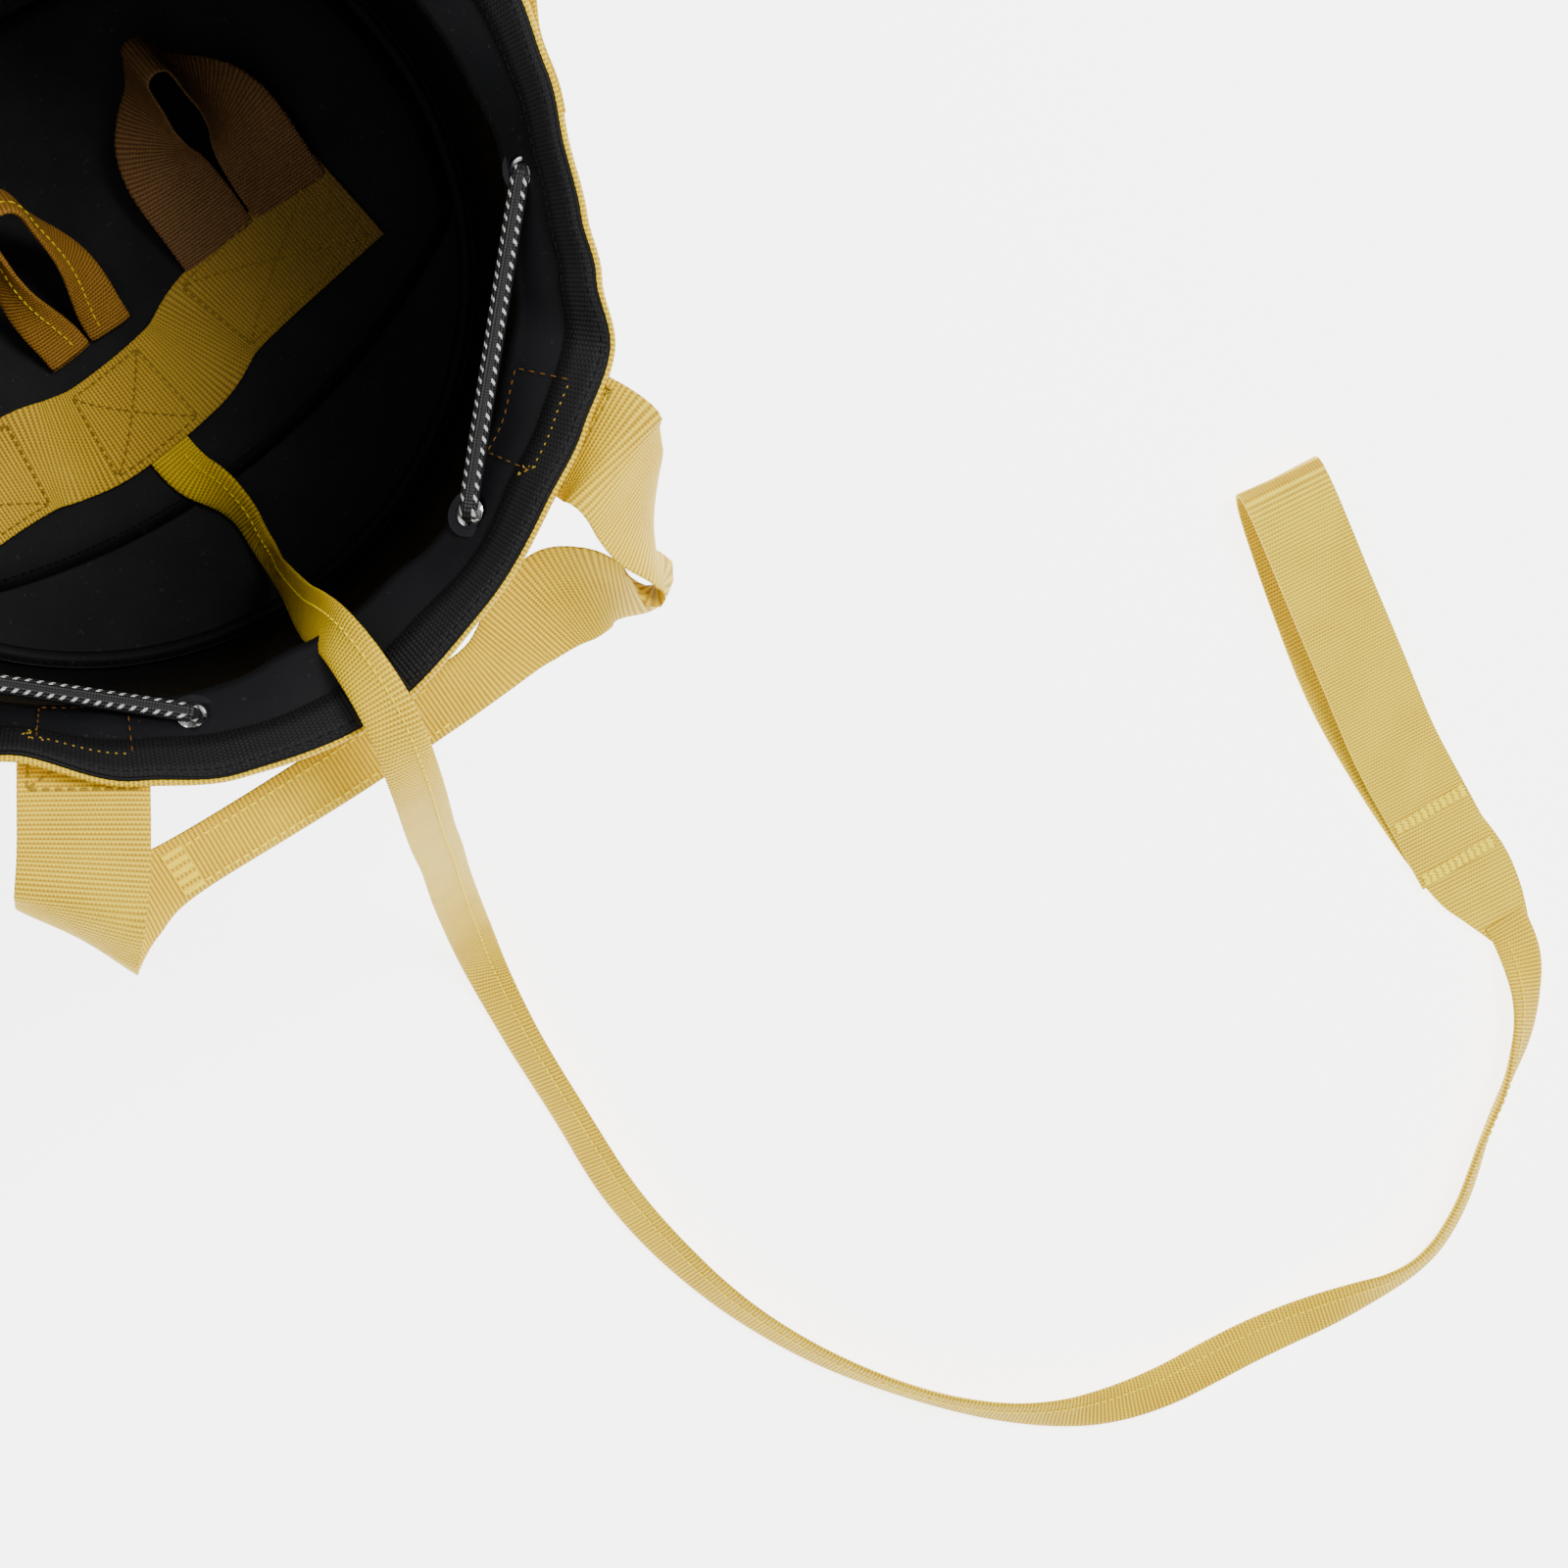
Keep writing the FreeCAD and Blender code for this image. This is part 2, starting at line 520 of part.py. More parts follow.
def lanyard():
    """The folded strap from the band, up the wall, over the rim and the handle, and along the floor."""
    points = [V(*p) for p in LANYARD_ROUTE]
    wire, radii, joints = rounded_route(points)
    wires = []
    for k, place in enumerate(joints):
        along = (joints[min(k + 1, len(joints) - 1)] - joints[max(k - 1, 0)]).normalize()
        level = V(along.x, along.y, 0)
        if level.Length < 0.35:
            level = V(0, -1, 0)
        across = V(-level.y, level.x, 0).normalize()
        wires.append(section(place, along, across, D["strap_width"], D["strap_thickness"]))
    solid = Part.makeLoft(wires, True, True)
    report("lanyard", solid.Volume, D["strap_width"] * D["strap_thickness"] * wire.Length, wire.Length, radii)
    feature("lanyard_strap", solid)


def hand_loop():
    """The lanyard's end: the strap opens flat, turns back over itself and is sewn down as a loop."""
    folded, thick = D["strap_width"], D["strap_thickness"]
    width, thin = D["narrow_width"], D["narrow_thickness"]
    across = V(0.984, -0.178, 0)
    opening = [((277, -491, 2.2), folded, thick), ((277.5, -478, 1.7), width * 0.8, 2.0)]
    under = [(277, -464, 1.3), (276, -437, 1.1), (277, -409, 1.1), (280, -380, 1.1), (288, -346, 1.3),
             (297, -313, 3.5), (300, -304, 10)]
    over = [(298, -314, 16), (291, -347, 16), (285, -380, 12), (280, -409, 7), (277.5, -437, 3.4),
            (275, -461, 2.9)]
    stations = [(V(*place), across, wide, deep) for place, wide, deep in opening]
    stations += [(V(*place), across, width, thin) for place in under + over]
    feature("lanyard_hand_loop", strap(stations))


# ---- the whole bag --------------------------------------------------------------------------------

side_wall()
rim()
base()
eyelets()
bungee()
handle("front", 0.0)
handle("back", 180.0)
side_loop("right_side_loop", 0.0)
side_loop("left_side_loop", 180.0)
band_and_loops()
lanyard()
hand_loop()

doc.recompute()
for obj in doc.Objects:
    if "Invalid" in obj.State or "Error" in obj.State:
        raise RuntimeError(f"{obj.Label} is {obj.State}")
for obj in parts:
    if obj.Shape.isNull() or not obj.Shape.isValid() or not obj.Shape.Solids:
        raise RuntimeError(f"{obj.Label} has no valid solid")
for obj in parts:
    obj.Shape.exportStep(f"parts/{obj.Label}.step")
print(len(parts), "sub-parts")
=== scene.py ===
"""Garden tool bag: its looks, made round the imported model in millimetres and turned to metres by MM."""
import math
import random

import bpy
from mathutils import Matrix, Vector, noise


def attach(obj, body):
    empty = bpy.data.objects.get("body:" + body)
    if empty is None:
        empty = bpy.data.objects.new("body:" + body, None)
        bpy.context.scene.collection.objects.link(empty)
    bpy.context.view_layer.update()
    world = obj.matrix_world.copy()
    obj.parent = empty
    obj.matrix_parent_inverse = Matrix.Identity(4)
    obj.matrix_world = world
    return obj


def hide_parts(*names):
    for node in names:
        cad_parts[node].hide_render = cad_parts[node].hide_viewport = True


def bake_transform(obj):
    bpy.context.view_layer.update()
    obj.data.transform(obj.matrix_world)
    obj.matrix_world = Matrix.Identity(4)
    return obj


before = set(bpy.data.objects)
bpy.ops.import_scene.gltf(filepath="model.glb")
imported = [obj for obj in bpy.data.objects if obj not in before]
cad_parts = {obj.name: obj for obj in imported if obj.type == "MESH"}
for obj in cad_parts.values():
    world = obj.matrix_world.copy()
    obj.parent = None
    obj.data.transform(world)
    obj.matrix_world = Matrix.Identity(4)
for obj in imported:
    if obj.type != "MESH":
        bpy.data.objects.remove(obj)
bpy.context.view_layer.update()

MM = 0.001
CHANCE = random.Random(7)
FRONT = -90.0                                   # the front handle's direction, in degrees from +X
BASE_TOP, COVER_TOP = 1.0, 4.3                  # heights of the base panel and of its sewn cover
NECK_RADIUS, NECK_HEIGHT, FLARE = 124.5, 278.0, 31.2
COS_FLARE, SIN_FLARE = math.cos(math.radians(40)), math.sin(math.radians(40))
WEBBING, THIN, NARROW, NARROW_THIN = 38.0, 1.6, 32.0, 1.4
FOLDED, FOLDED_THICK = 16.0, 2.8
HANDLE_TURN = 36.3
EYELET_DOWN, BUNGEE_OUT = 22.8, 10.5            # from the rim down the flare, and the bungee's stand-off
EYELET_RADIUS = NECK_RADIUS + COS_FLARE * (FLARE - EYELET_DOWN)
EYELET_HEIGHT = NECK_HEIGHT + SIN_FLARE * (FLARE - EYELET_DOWN)
PER_STATION = 24                                # steps that a strap's curve is measured in
# the rings of a stitch: how far along, how thick and how high
STITCH_RINGS = [(0, 0.35, -0.25), (0.18, 0.9, 0.35), (0.5, 1.0, 0.55), (0.82, 0.9, 0.35), (1, 0.35, -0.25)]


# ---- curves and meshes ----------------------------------------------------------------------------

def curve_value(values, where):
    """A Catmull-Rom curve through vectors or numbers, read at a station number such as 2.4."""
    i = min(int(where), len(values) - 2)
    t = where - i
    before, here, there, after = (values[min(max(k, 0), len(values) - 1)] for k in range(i - 1, i + 3))
    return (here * 2 + (there - before) * t + (before * 2 - here * 5 + there * 4 - after) * t**2
            + (here * 3 - before - there * 3 + after) * t**3) * 0.5


def smooth(low, high, value):
    """0 below low, 1 above high and an even slope between."""
    share = min(max((value - low) / (high - low), 0.0), 1.0)
    return share * share * (3 - 2 * share)


def around(radius, degrees, height=0.0):
    turn = math.radians(degrees)
    return Vector((radius * math.cos(turn), radius * math.sin(turn), height))


def piece(name, points, faces, material, uvs=None):
    """A smooth mesh piece from points in millimetres."""
    mesh = bpy.data.meshes.new(name)
    mesh.from_pydata([p * MM for p in points], [], faces)
    mesh.polygons.foreach_set("use_smooth", [True] * len(mesh.polygons))
    if uvs:
        layer = mesh.uv_layers.new(name="along")
        for polygon, corners in zip(mesh.polygons, uvs):
            for loop, corner in zip(polygon.loop_indices, corners):
                layer.data[loop].uv = (corner[0] * MM, corner[1] * MM)
    mesh.materials.append(material)
    obj = bpy.data.objects.new(name, mesh)
    bpy.context.scene.collection.objects.link(obj)
    return obj


def grid(name, rows, material, spots, close_rows=False, close_columns=False, caps=False):
    """A mesh over rows of points, with each point's place in the weave (along, across) in spots."""
    height, width = len(rows), len(rows[0])
    points = [p for row in rows for p in row]
    faces, uvs = [], []
    for i in range(height if close_rows else height - 1):
        for j in range(width if close_columns else width - 1):
            below, beside = (i + 1) % height, (j + 1) % width
            faces.append([a * width + b for a, b in ((i, j), (i, beside), (below, beside), (below, j))])
            uvs.append([spots(i, j), spots(i, j + 1), spots(i + 1, j + 1), spots(i + 1, j)])
    if caps:
        for i, order in ((0, 1), (height - 1, -1)):
            ring = [(i, j) for j in range(width)][::-order]
            faces.append([a * width + b for a, b in ring])
            uvs.append([spots(*corner) for corner in ring])
    return piece(name, points, faces, material, uvs)


class Strap:
    """Webbing along stations of (place, direction across, width, thickness)."""

    def __init__(self, stations, step=2.0, ripple=0.0):
        stations = [(Vector(place), Vector(across), *size) for place, across, *size in stations]
        places, acrosses, widths, thicknesses = zip(*stations)
        dense = [k / PER_STATION for k in range(PER_STATION * (len(stations) - 1) + 1)]
        centres = [curve_value(places, w) for w in dense]
        lengths = [0.0]
        for a, b in zip(centres, centres[1:]):
            lengths.append(lengths[-1] + (b - a).length)
        self.length = lengths[-1]
        count = max(4, round(self.length / step))
        self.samples, k = [], 0
        for n in range(count + 1):
            target = self.length * n / count
            while k < len(lengths) - 2 and lengths[k + 1] < target:
                k += 1
            share = (target - lengths[k]) / max(lengths[k + 1] - lengths[k], 1e-9)
            where = dense[k] + share * (dense[k + 1] - dense[k])
            behind, ahead = max(where - 0.04, 0), min(where + 0.04, len(places) - 1)
            along = (curve_value(places, ahead) - curve_value(places, behind)).normalized()
            across = curve_value(acrosses, where)
            across = (across - along * across.dot(along)).normalized()
            normal = along.cross(across)
            wave = ripple * noise.noise(Vector((target * 0.025, self.length, 3.1)))
            self.samples.append((curve_value(places, where) + normal * wave, across, normal,
                                 curve_value(widths, where), curve_value(thicknesses, where)))

    def point(self, length, across, out):
        """A point so far along, so far across from the middle, and so far out from the face."""
        where = min(max(length / self.length, 0), 1) * (len(self.samples) - 1)
        k = min(int(where), len(self.samples) - 2)
        blend = where - k
        ends = []
        for place, side, normal, _, thickness in self.samples[k:k + 2]:
            ends.append(place + side * across + normal * (math.copysign(thickness / 2, out) + out))
        return ends[0].lerp(ends[1], blend)

    def mesh(self, name, material, columns=8, cup=0.0):
        """A closed ribbon with soft edges; cup bows it across its width."""
        share = [math.sin(math.pi / 2 * (2 * c / columns - 1)) for c in range(columns + 1)]
        ring = [(s, 1) for s in share] + [(s, -1) for s in reversed(share)]
        rows, step = [], self.length / (len(self.samples) - 1)
        for place, side, normal, width, thickness in self.samples:
            row = []
            for s, face in ring:
                edge = (1 - abs(s) ** 6 * 0.72) * thickness / 2
                row.append(place + side * (s * width / 2) + normal * (face * edge + cup * (s * s - 0.5)))
            rows.append(row)
        width = self.samples[0][3]

        def spot(i, j):
            s, face = ring[min(j, len(ring) - 1)] if j < len(ring) else ring[0]
            return i * step, s * width / 2 + (0 if face > 0 else 100)

        return grid(name, rows, material, spot, close_columns=True, caps=True)


def stitches(name, rows, material, size=0.42, gap=0.9, pitch=3.4):
    """Sewn thread: each row is (surface, corners), and a stitch is a small rounded stroke on the surface."""
    points, faces = [], []
    for surface, corners in rows:
        for (a0, b0), (a1, b1) in zip(corners, corners[1:]):
            run = math.hypot(a1 - a0, b1 - b0)
            count = max(1, round(run / pitch))
            for k in range(count):
                ends = []
                for share in (k + gap / pitch / 2, k + 1 - gap / pitch / 2):
                    share = share / count
                    ends.append(surface(a0 + (a1 - a0) * share, b0 + (b1 - b0) * share))
                stroke(points, faces, *ends, size)
    return piece(name, points, faces, material)


def stroke(points, faces, start, end, size):
    """A thread from start to end, each a (place, normal), thick in the middle and sunk at its ends."""
    (p0, n0), (p1, n1) = start, end
    along = (p1 - p0).normalized()
    side = along.cross(n0).normalized()
    first = len(points)
    for share, fat, rise in STITCH_RINGS:
        middle = p0.lerp(p1, share) + n0.lerp(n1, share) * rise * size
        for k in range(5):
            angle = math.tau * k / 5
            points.append(middle + (side * math.cos(angle) + n0 * math.sin(angle)) * fat * size)
    for i in range(4):
        for k in range(5):
            a, b = first + i * 5, first + i * 5 + 5
            faces.append([a + k, a + (k + 1) % 5, b + (k + 1) % 5, b + k])


def box_and_cross(a0, a1, b0, b1):
    """The corners of a sewn box with its two diagonals, as rows."""
    return [[(a0, b0), (a1, b0), (a1, b1), (a0, b1), (a0, b0)], [(a0, b0), (a1, b1)], [(a0, b1), (a1, b0)]]


# ---- finishes -------------------------------------------------------------------------------------

class Value:
    """A shader socket that adds, multiplies and compares like a number."""

    def __init__(self, finish, socket):
        self.finish, self.socket = finish, socket

    def maths(self, operation, first, second=0.0):
        return self.finish.node("Math", {"operation": operation}, {0: first, 1: second})

    def __add__(self, other):
        return self.maths("ADD", self, other)

    __radd__ = __add__

    def __sub__(self, other):
        return self.maths("SUBTRACT", self, other)

    def __rsub__(self, other):
        return self.maths("SUBTRACT", other, self)

    def __mul__(self, other):
        return self.maths("MULTIPLY", self, other)

    __rmul__ = __mul__

    def __gt__(self, other):
        return self.maths("GREATER_THAN", self, other)

    def __lt__(self, other):
        return self.maths("LESS_THAN", self, other)

    def __mod__(self, other):
        return self.maths("FLOORED_MODULO", self, other)

    def sine(self):
        return self.maths("SINE", self)


class Finish:
    """A procedural material being made."""

    def __init__(self, name, roughness=0.6, **sockets):
        self.material = bpy.data.materials.new(name)
        self.material.use_nodes = True
        self.nodes, self.links = self.material.node_tree.nodes, self.material.node_tree.links
        self.surface = self.nodes["Principled BSDF"]
        self.surface.inputs["Roughness"].default_value = roughness
        for socket, value in sockets.items():
            self.surface.inputs[socket.replace("_", " ")].default_value = value

    def node(self, kind, settings, values, output=0):
        made = self.nodes.new("ShaderNode" + kind)
        for setting, value in settings.items():
            setattr(made, setting, value)
        for socket, value in values.items():
            if isinstance(value, Value):
                self.links.new(value.socket, made.inputs[socket])
            else:
                made.inputs[socket].default_value = value
        return Value(self, made.outputs[output])

    def weave_place(self):
        """Metres along and across the piece."""
        place = self.node("UVMap", {"uv_map": "along"}, {})
        return (self.node("SeparateXYZ", {}, {0: place}, 0), self.node("SeparateXYZ", {}, {0: place}, 1))

    def straight_place(self, along, across):
        """Metres along and across a strap that runs straight, from the place in the frame."""
        place = self.position()
        return tuple(self.node("VectorMath", {"operation": "DOT_PRODUCT"}, {0: place, 1: axis}, "Value")
                     for axis in (along, across))

    def position(self):
        return self.node("TexCoord", {}, {}, "Object")

    def noise(self, scale, detail=3.0, roughness=0.5):
        settings = {"noise_dimensions": "3D"}
        return self.node("TexNoise", settings, {"Vector": self.position(), "Scale": scale, "Detail": detail,
                                                "Roughness": roughness})

    def mix(self, share, first, second):
        colours = {6: first if isinstance(first, Value) else (*first, 1),
                   7: second if isinstance(second, Value) else (*second, 1)}
        return self.node("Mix", {"data_type": "RGBA"}, {0: share, **colours}, 2)

    def colour(self, value):
        self.links.new(value.socket, self.surface.inputs["Base Color"])

    def rough(self, value):
        self.links.new(value.socket, self.surface.inputs["Roughness"])

    def bump(self, height, strength, distance):
        made = self.node("Bump", {}, {"Strength": strength, "Distance": distance, "Height": height})
        self.links.new(made.socket, self.surface.inputs["Normal"])


def ribbed_webbing(name, ridge, groove, worn, axes=None, painted_shade_rate=0.0):
    """Woven webbing: ribs across its length, warp threads that pass over them, and shade between.

    axes gives the directions along and across a strap that has no weave places of its own, and the last
    argument how fast a painted shade darkens the webbing towards +X, standing in for the wall's shadow.
    """
    roughness, pitch = 0.62, 1.39
    finish = Finish(name, roughness, Specular_IOR_Level=0.15)
    along, across = finish.straight_place(*axes) if axes else finish.weave_place()
    rib = (along * (math.tau / (pitch * MM))).sine()
    other_rib = (along * (math.pi / (pitch * MM))).sine()
    thread = (across * (math.tau / (1.15 * MM))).sine()
    height = 0.52 + rib * 0.44 + thread * other_rib * 0.3
    blotch = finish.noise(55.0, 4.0)
    fine = finish.noise(900.0, 2.0)
    weave = finish.mix(height, groove, ridge)
    faded = finish.mix(blotch * 0.5, weave, finish.mix(height, ridge, worn))
    colour = finish.mix(fine * 0.18, faded, groove)
    # painted shade: the colour darkens towards +X, standing in for the wall's shadow
    if painted_shade_rate:
        rightwards = finish.straight_place((1, 0, 0), (0, 1, 0))[0]
        colour = finish.mix((rightwards + 0.04) * painted_shade_rate, colour, (0.10, 0.055, 0.022))
    finish.colour(colour)
    finish.rough(roughness - 0.1 + fine * 0.2)
    finish.bump(height, 0.6, 0.35 * MM)
    return finish.material


def coated_fabric():
    """Black fabric with a smooth coating: a fine grain, soft creases with painted shade in their hollows, and
    dust.
    """
    finish = Finish("coated_fabric", 0.5, Specular_IOR_Level=0.14)
    grain, crease, dust = finish.noise(2600.0, 2.0), finish.noise(34.0, 5.0, 0.62), finish.noise(420.0, 1.0)
    specks = (dust > 0.735) * 0.12
    # painted shade: the colour is darker where the creases' bump sinks
    painted_crease_shade = finish.mix(crease, (0.0018, 0.002, 0.0027), (0.0042, 0.0043, 0.0052))
    finish.colour(finish.mix(specks, painted_crease_shade, (0.08, 0.075, 0.065)))
    finish.rough(0.46 + crease * 0.3 + grain * 0.06)
    finish.bump(crease * 0.7 + grain * 0.05, 0.35, 1.6 * MM)
    return finish.material


def bungee_finish():
    """Black braid with two rows of slanted white flecks."""
    finish = Finish("bungee_braid", 0.55, Specular_IOR_Level=0.4)
    along, turn = finish.weave_place()
    slant = along * (1 / (3.4 * MM)) + turn * (2 / (9.1 * MM))
    twist = along * (1 / (3.4 * MM)) - turn * (2 / (9.1 * MM))
    fleck = (slant % 1.0 < 0.32) * ((turn * (2 / (9.1 * MM))) % 1.0 < 0.36)
    braid = (slant * (4 * math.pi)).sine() * (twist * (4 * math.pi)).sine()
    finish.colour(finish.mix(fleck, finish.mix(braid, (0.003, 0.003, 0.0035), (0.012, 0.012, 0.013)),
                             (0.5, 0.5, 0.49)))
    finish.bump(braid, 0.6, 0.4 * MM)
    return finish.material


def thread_finish(name, colour, dark):
    finish = Finish(name, 0.6, Specular_IOR_Level=0.1)
    finish.colour(finish.mix(finish.noise(1500.0), dark, colour))
    finish.bump(finish.noise(2500.0, 1.0), 0.4, 0.2 * MM)
    return finish.material


def gunmetal():
    finish = Finish("gunmetal", 0.3, Metallic=1.0)
    wear = finish.noise(260.0, 4.0)
    finish.colour(finish.mix(wear, (0.010, 0.010, 0.012), (0.035, 0.035, 0.038)))
    finish.rough(0.12 + wear * 0.16)
    finish.bump(finish.noise(700.0, 2.0), 0.12, 0.2 * MM)
    return finish.material


YELLOW = ribbed_webbing("yellow_webbing", (0.86, 0.60, 0.012), (0.20, 0.075, 0.0015), (0.92, 0.70, 0.02))
# a lighter copy of the yellow webbing: painted light on the hand loop, which lies open to the lamps
PAINTED_LIGHT_WEBBING = ribbed_webbing("webbing_in_painted_light", (0.92, 0.70, 0.02), (0.28, 0.12, 0.002), (0.95, 0.78, 0.04),
                      axes=((0.178, 0.984, 1.0), (0.984, -0.178, 0.0)))
# the anchor band's webbing, with painted shade that darkens it towards +X
BAND_WITH_PAINTED_SHADE = ribbed_webbing("band_webbing_painted_dark_end", (0.80, 0.52, 0.03), (0.20, 0.08, 0.004), (0.84, 0.58, 0.05),
                      painted_shade_rate=6.0)
# a darker copy of the yellow webbing: painted shade on the tool loops in the bag and the tails under the band
PAINTED_SHADE_WEBBING = ribbed_webbing("webbing_in_painted_shade", (0.50, 0.24, 0.03), (0.09, 0.03, 0.004), (0.56, 0.30, 0.05))
# darker still: painted deep shade for the right tool loop in the wall's shadow
DEEP_PAINTED_SHADE = ribbed_webbing("webbing_in_painted_deep_shade", (0.26, 0.13, 0.045), (0.05, 0.022, 0.008), (0.30, 0.16, 0.06))
BLACK_TAPE = ribbed_webbing("black_tape", (0.006, 0.006, 0.007), (0.001, 0.001, 0.0013),
                            (0.009, 0.009, 0.0105))
FABRIC = coated_fabric()
BUNGEE = bungee_finish()
LEMON = thread_finish("lemon_thread", (0.98, 0.82, 0.01), (0.85, 0.62, 0.004))
OLIVE = thread_finish("olive_thread", (0.36, 0.24, 0.02), (0.20, 0.12, 0.01))
BROWN = thread_finish("brown_thread", (0.16, 0.07, 0.01), (0.08, 0.03, 0.005))
GREY = thread_finish("grey_thread", (0.004, 0.004, 0.005), (0.0015, 0.0015, 0.002))
METAL = gunmetal()


def sewn(name, rows, material, body="bag", slot="yellow_webbing", **sizes):
    """A piece of stitching that rides on a body."""
    obj = stitches(name, rows, material, **sizes)
    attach(obj, body)
    return obj


def strap_face(strap, side=1):
    """A strap's face as a surface for stitches: (along, across) gives a place and its normal."""
    def place(length, across):
        low, high = strap.point(length, across, side * 0.001), strap.point(length, across, side * 1.0)
        return low, (high - low).normalized()
    return place


# ---- camera ---------------------------------------------------------------------------------------

def camera():
    """Looks down on the bag from above, a little towards the lanyard."""
    forward = Vector((0.0561, -0.1733, -1)).normalized()
    up = Vector((0.5835, 0.812, 0))
    up = (up - forward * up.dot(forward)).normalized()
    data = bpy.data.cameras.new("camera")
    data.sensor_width, data.lens = 36.0, 109.4
    obj = bpy.data.objects.new("camera", data)
    obj.matrix_world = Matrix((forward.cross(up), up, -forward)).transposed().to_4x4()
    obj.location = (0, 0, 1.667)
    bpy.context.scene.collection.objects.link(obj)
    bpy.context.scene.camera = obj


# ---- lanyard --------------------------------------------------------------------------------------

# places along the lanyard, and how far the strap is rolled on edge there, in degrees
LANYARD_ROUTE = [
    (-11.5, -62, 5.85, 0), (-11.5, -75, 6.5, 15), (-5.5, -86, 8.5, 45), (-3, -98, 9.5, 60),
    (-4.5, -108, 11, 62), (-5, -116.5, 17, 62), (-5.5, -120.5, 28, 62), (-6, -121.5, 50, 60),
    (-6, -121, 100, 55), (-6, -121.5, 160, 48), (-5.5, -121, 215, 44), (-5, -120, 247, 38),
    (-4, -120.5, 266, 34), (-2.5, -124, 284.5, 28), (-2, -132, 294.5, 22), (-2.5, -142, 301.5, 16),
    (-3.5, -151, 304, 10), (-5.5, -160, 302, 5), (-8, -169, 294, 0), (-10.5, -179, 277, 0),
    (-13, -189, 249, 0), (-15.6, -200.5, 211, -3), (-17.6, -214.5, 161, -5), (-21, -229.5, 108, -3),
    (-24, -245, 60, 5), (-26.8, -260, 26, 15), (-30, -275.5, 9, 25), (-32.5, -291.5, 6.5, 35),
    (-35, -311, 7, 42), (-37, -340, 7, 45), (-40, -370, 7, 42), (-37, -402, 7, 45), (-29, -436, 8, 55),
    (-13, -472, 8.2, 62), (12, -509, 8.4, 66), (40, -535, 7.6, 50), (72, -550, 4.8, 18),
    (112, -556, 3.1, 3), (150, -566, 4.8, 20), (178, -572, 8, 55), (203, -563, 8.2, 60),
    (225, -546, 8.4, 64), (245, -534, 8.6, 74), (261.5, -521, 8.2, 55), (272, -506, 6.5, 36),
    (277, -493, 3.8, 8), (277.4, -486, 3.2, 0),
]


def route_points(route):
    """Points along the smooth line that a route's places steer."""
    data = bpy.data.curves.new("lanyard_line", "CURVE")
    data.dimensions = "3D"
    data.resolution_u = 10
    spline = data.splines.new("NURBS")
    spline.points.add(len(route) - 1)
    for point, place in zip(spline.points, route):
        point.co = (*[c * MM for c in place[:3]], 1)
    spline.order_u = 3
    spline.use_endpoint_u = True
    obj = bpy.data.objects.new("lanyard_line", data)
    bpy.context.scene.collection.objects.link(obj)
    mesh = bpy.data.meshes.new_from_object(obj)
    points = [v.co.copy() for v in mesh.vertices]
    bpy.data.objects.remove(obj)
    bpy.data.meshes.remove(mesh)
    return points


def lanyard():
    """The folded strap, with a row of stitches along its middle."""
    path = route_points(LANYARD_ROUTE)
    rolls = [place[3] for place in LANYARD_ROUTE]
    stations = []
    for k in [*range(0, len(path) - 3, 4), len(path) - 1]:
        place, behind, ahead = path[k], path[max(k - 3, 0)], path[min(k + 3, len(path) - 1)]
        along = (ahead - behind).normalized()
        level = Vector((along.x, along.y, 0))
        level += Vector((0, -1, 0)) * (1 - level.length)
        across = Vector((-level.y, level.x, 0)).normalized()
        roll = math.radians(curve_value(rolls, k / (len(path) - 1) * (len(rolls) - 1)))
        across = (across * math.cos(roll) + across.cross(along) * -math.sin(roll)).normalized()
        stations.append((place / MM, across, FOLDED, FOLDED_THICK))
    strap = Strap(stations, 2.0)
    obj = strap.mesh("lanyard", YELLOW, cup=0.5)
    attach(obj, "bag")
    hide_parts("lanyard_strap")
    face = strap_face(strap, 1)
    seam = [(face, [(8, 3.2), (strap.length - 8, 3.2)])]
    row = sewn("lanyard_stitches", seam, LEMON, size=0.3, pitch=3.0)
    loop = hand_loop()
    tuple(path[0])


def hand_loop():
    """Flat webbing that opens from the lanyard's end and comes back on top of itself, with its bartacks."""
    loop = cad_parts["lanyard_hand_loop"]
    # the hand loop takes the lighter webbing copy: painted light
    for slot in loop.material_slots:
        slot.material = PAINTED_LIGHT_WEBBING
    level = (0.984, -0.178, 0)
    places = [(291, -347, 16.75), (285, -380, 12.75), (280, -409, 7.75), (277.5, -437, 4.15),
              (275, -461, 3.65)]
    top = Strap([(place, level, NARROW, NARROW_THIN) for place in places])
    face = strap_face(top, 1)
    rows = []
    for from_end in (3.0, 25.0):
        for offset in (-1.6, -1.1, -0.6, -0.1, 0.4, 0.9, 1.4, 1.9):
            along, shift = top.length - from_end + offset, offset * 0.8 % 1
            rows.append((face, [(along, shift - 15), (along + 0.3, shift + 14.2)]))
    tacks = sewn("hand_loop_bartacks", rows, LEMON, size=0.42, pitch=2.6, gap=0.2)
    return [loop, tacks]


# ---- wall, rim and base ---------------------------------------------------------------------------

# the mouth isn't quite round: its radius in a few directions, in degrees, front half (the back mirrors it)
MOUTH = [(0, 148.0), (-12, 143.5), (-21, 140.7), (-29, 141.8), (-36, 145.5), (-44, 152.3), (-53, 148.6),
         (-62, 146.2), (-76, 147.8), (-93, 151.5), (-109, 148.3), (-120, 143.7), (-134, 136.0), (-146, 144.5),
         (-156, 141.0), (-168, 143.5), (-180, 148.0)]


def mouth_radius(degrees):
    """The rim's radius in a direction."""
    turn = -abs((degrees + 180) % 360 - 180)
    for (a, low), (b, high) in zip(MOUTH, MOUTH[1:]):
        if a >= turn >= b:
            return low + (high - low) * smooth(0, 1, (a - turn) / (a - b))
    return MOUTH[0][1]


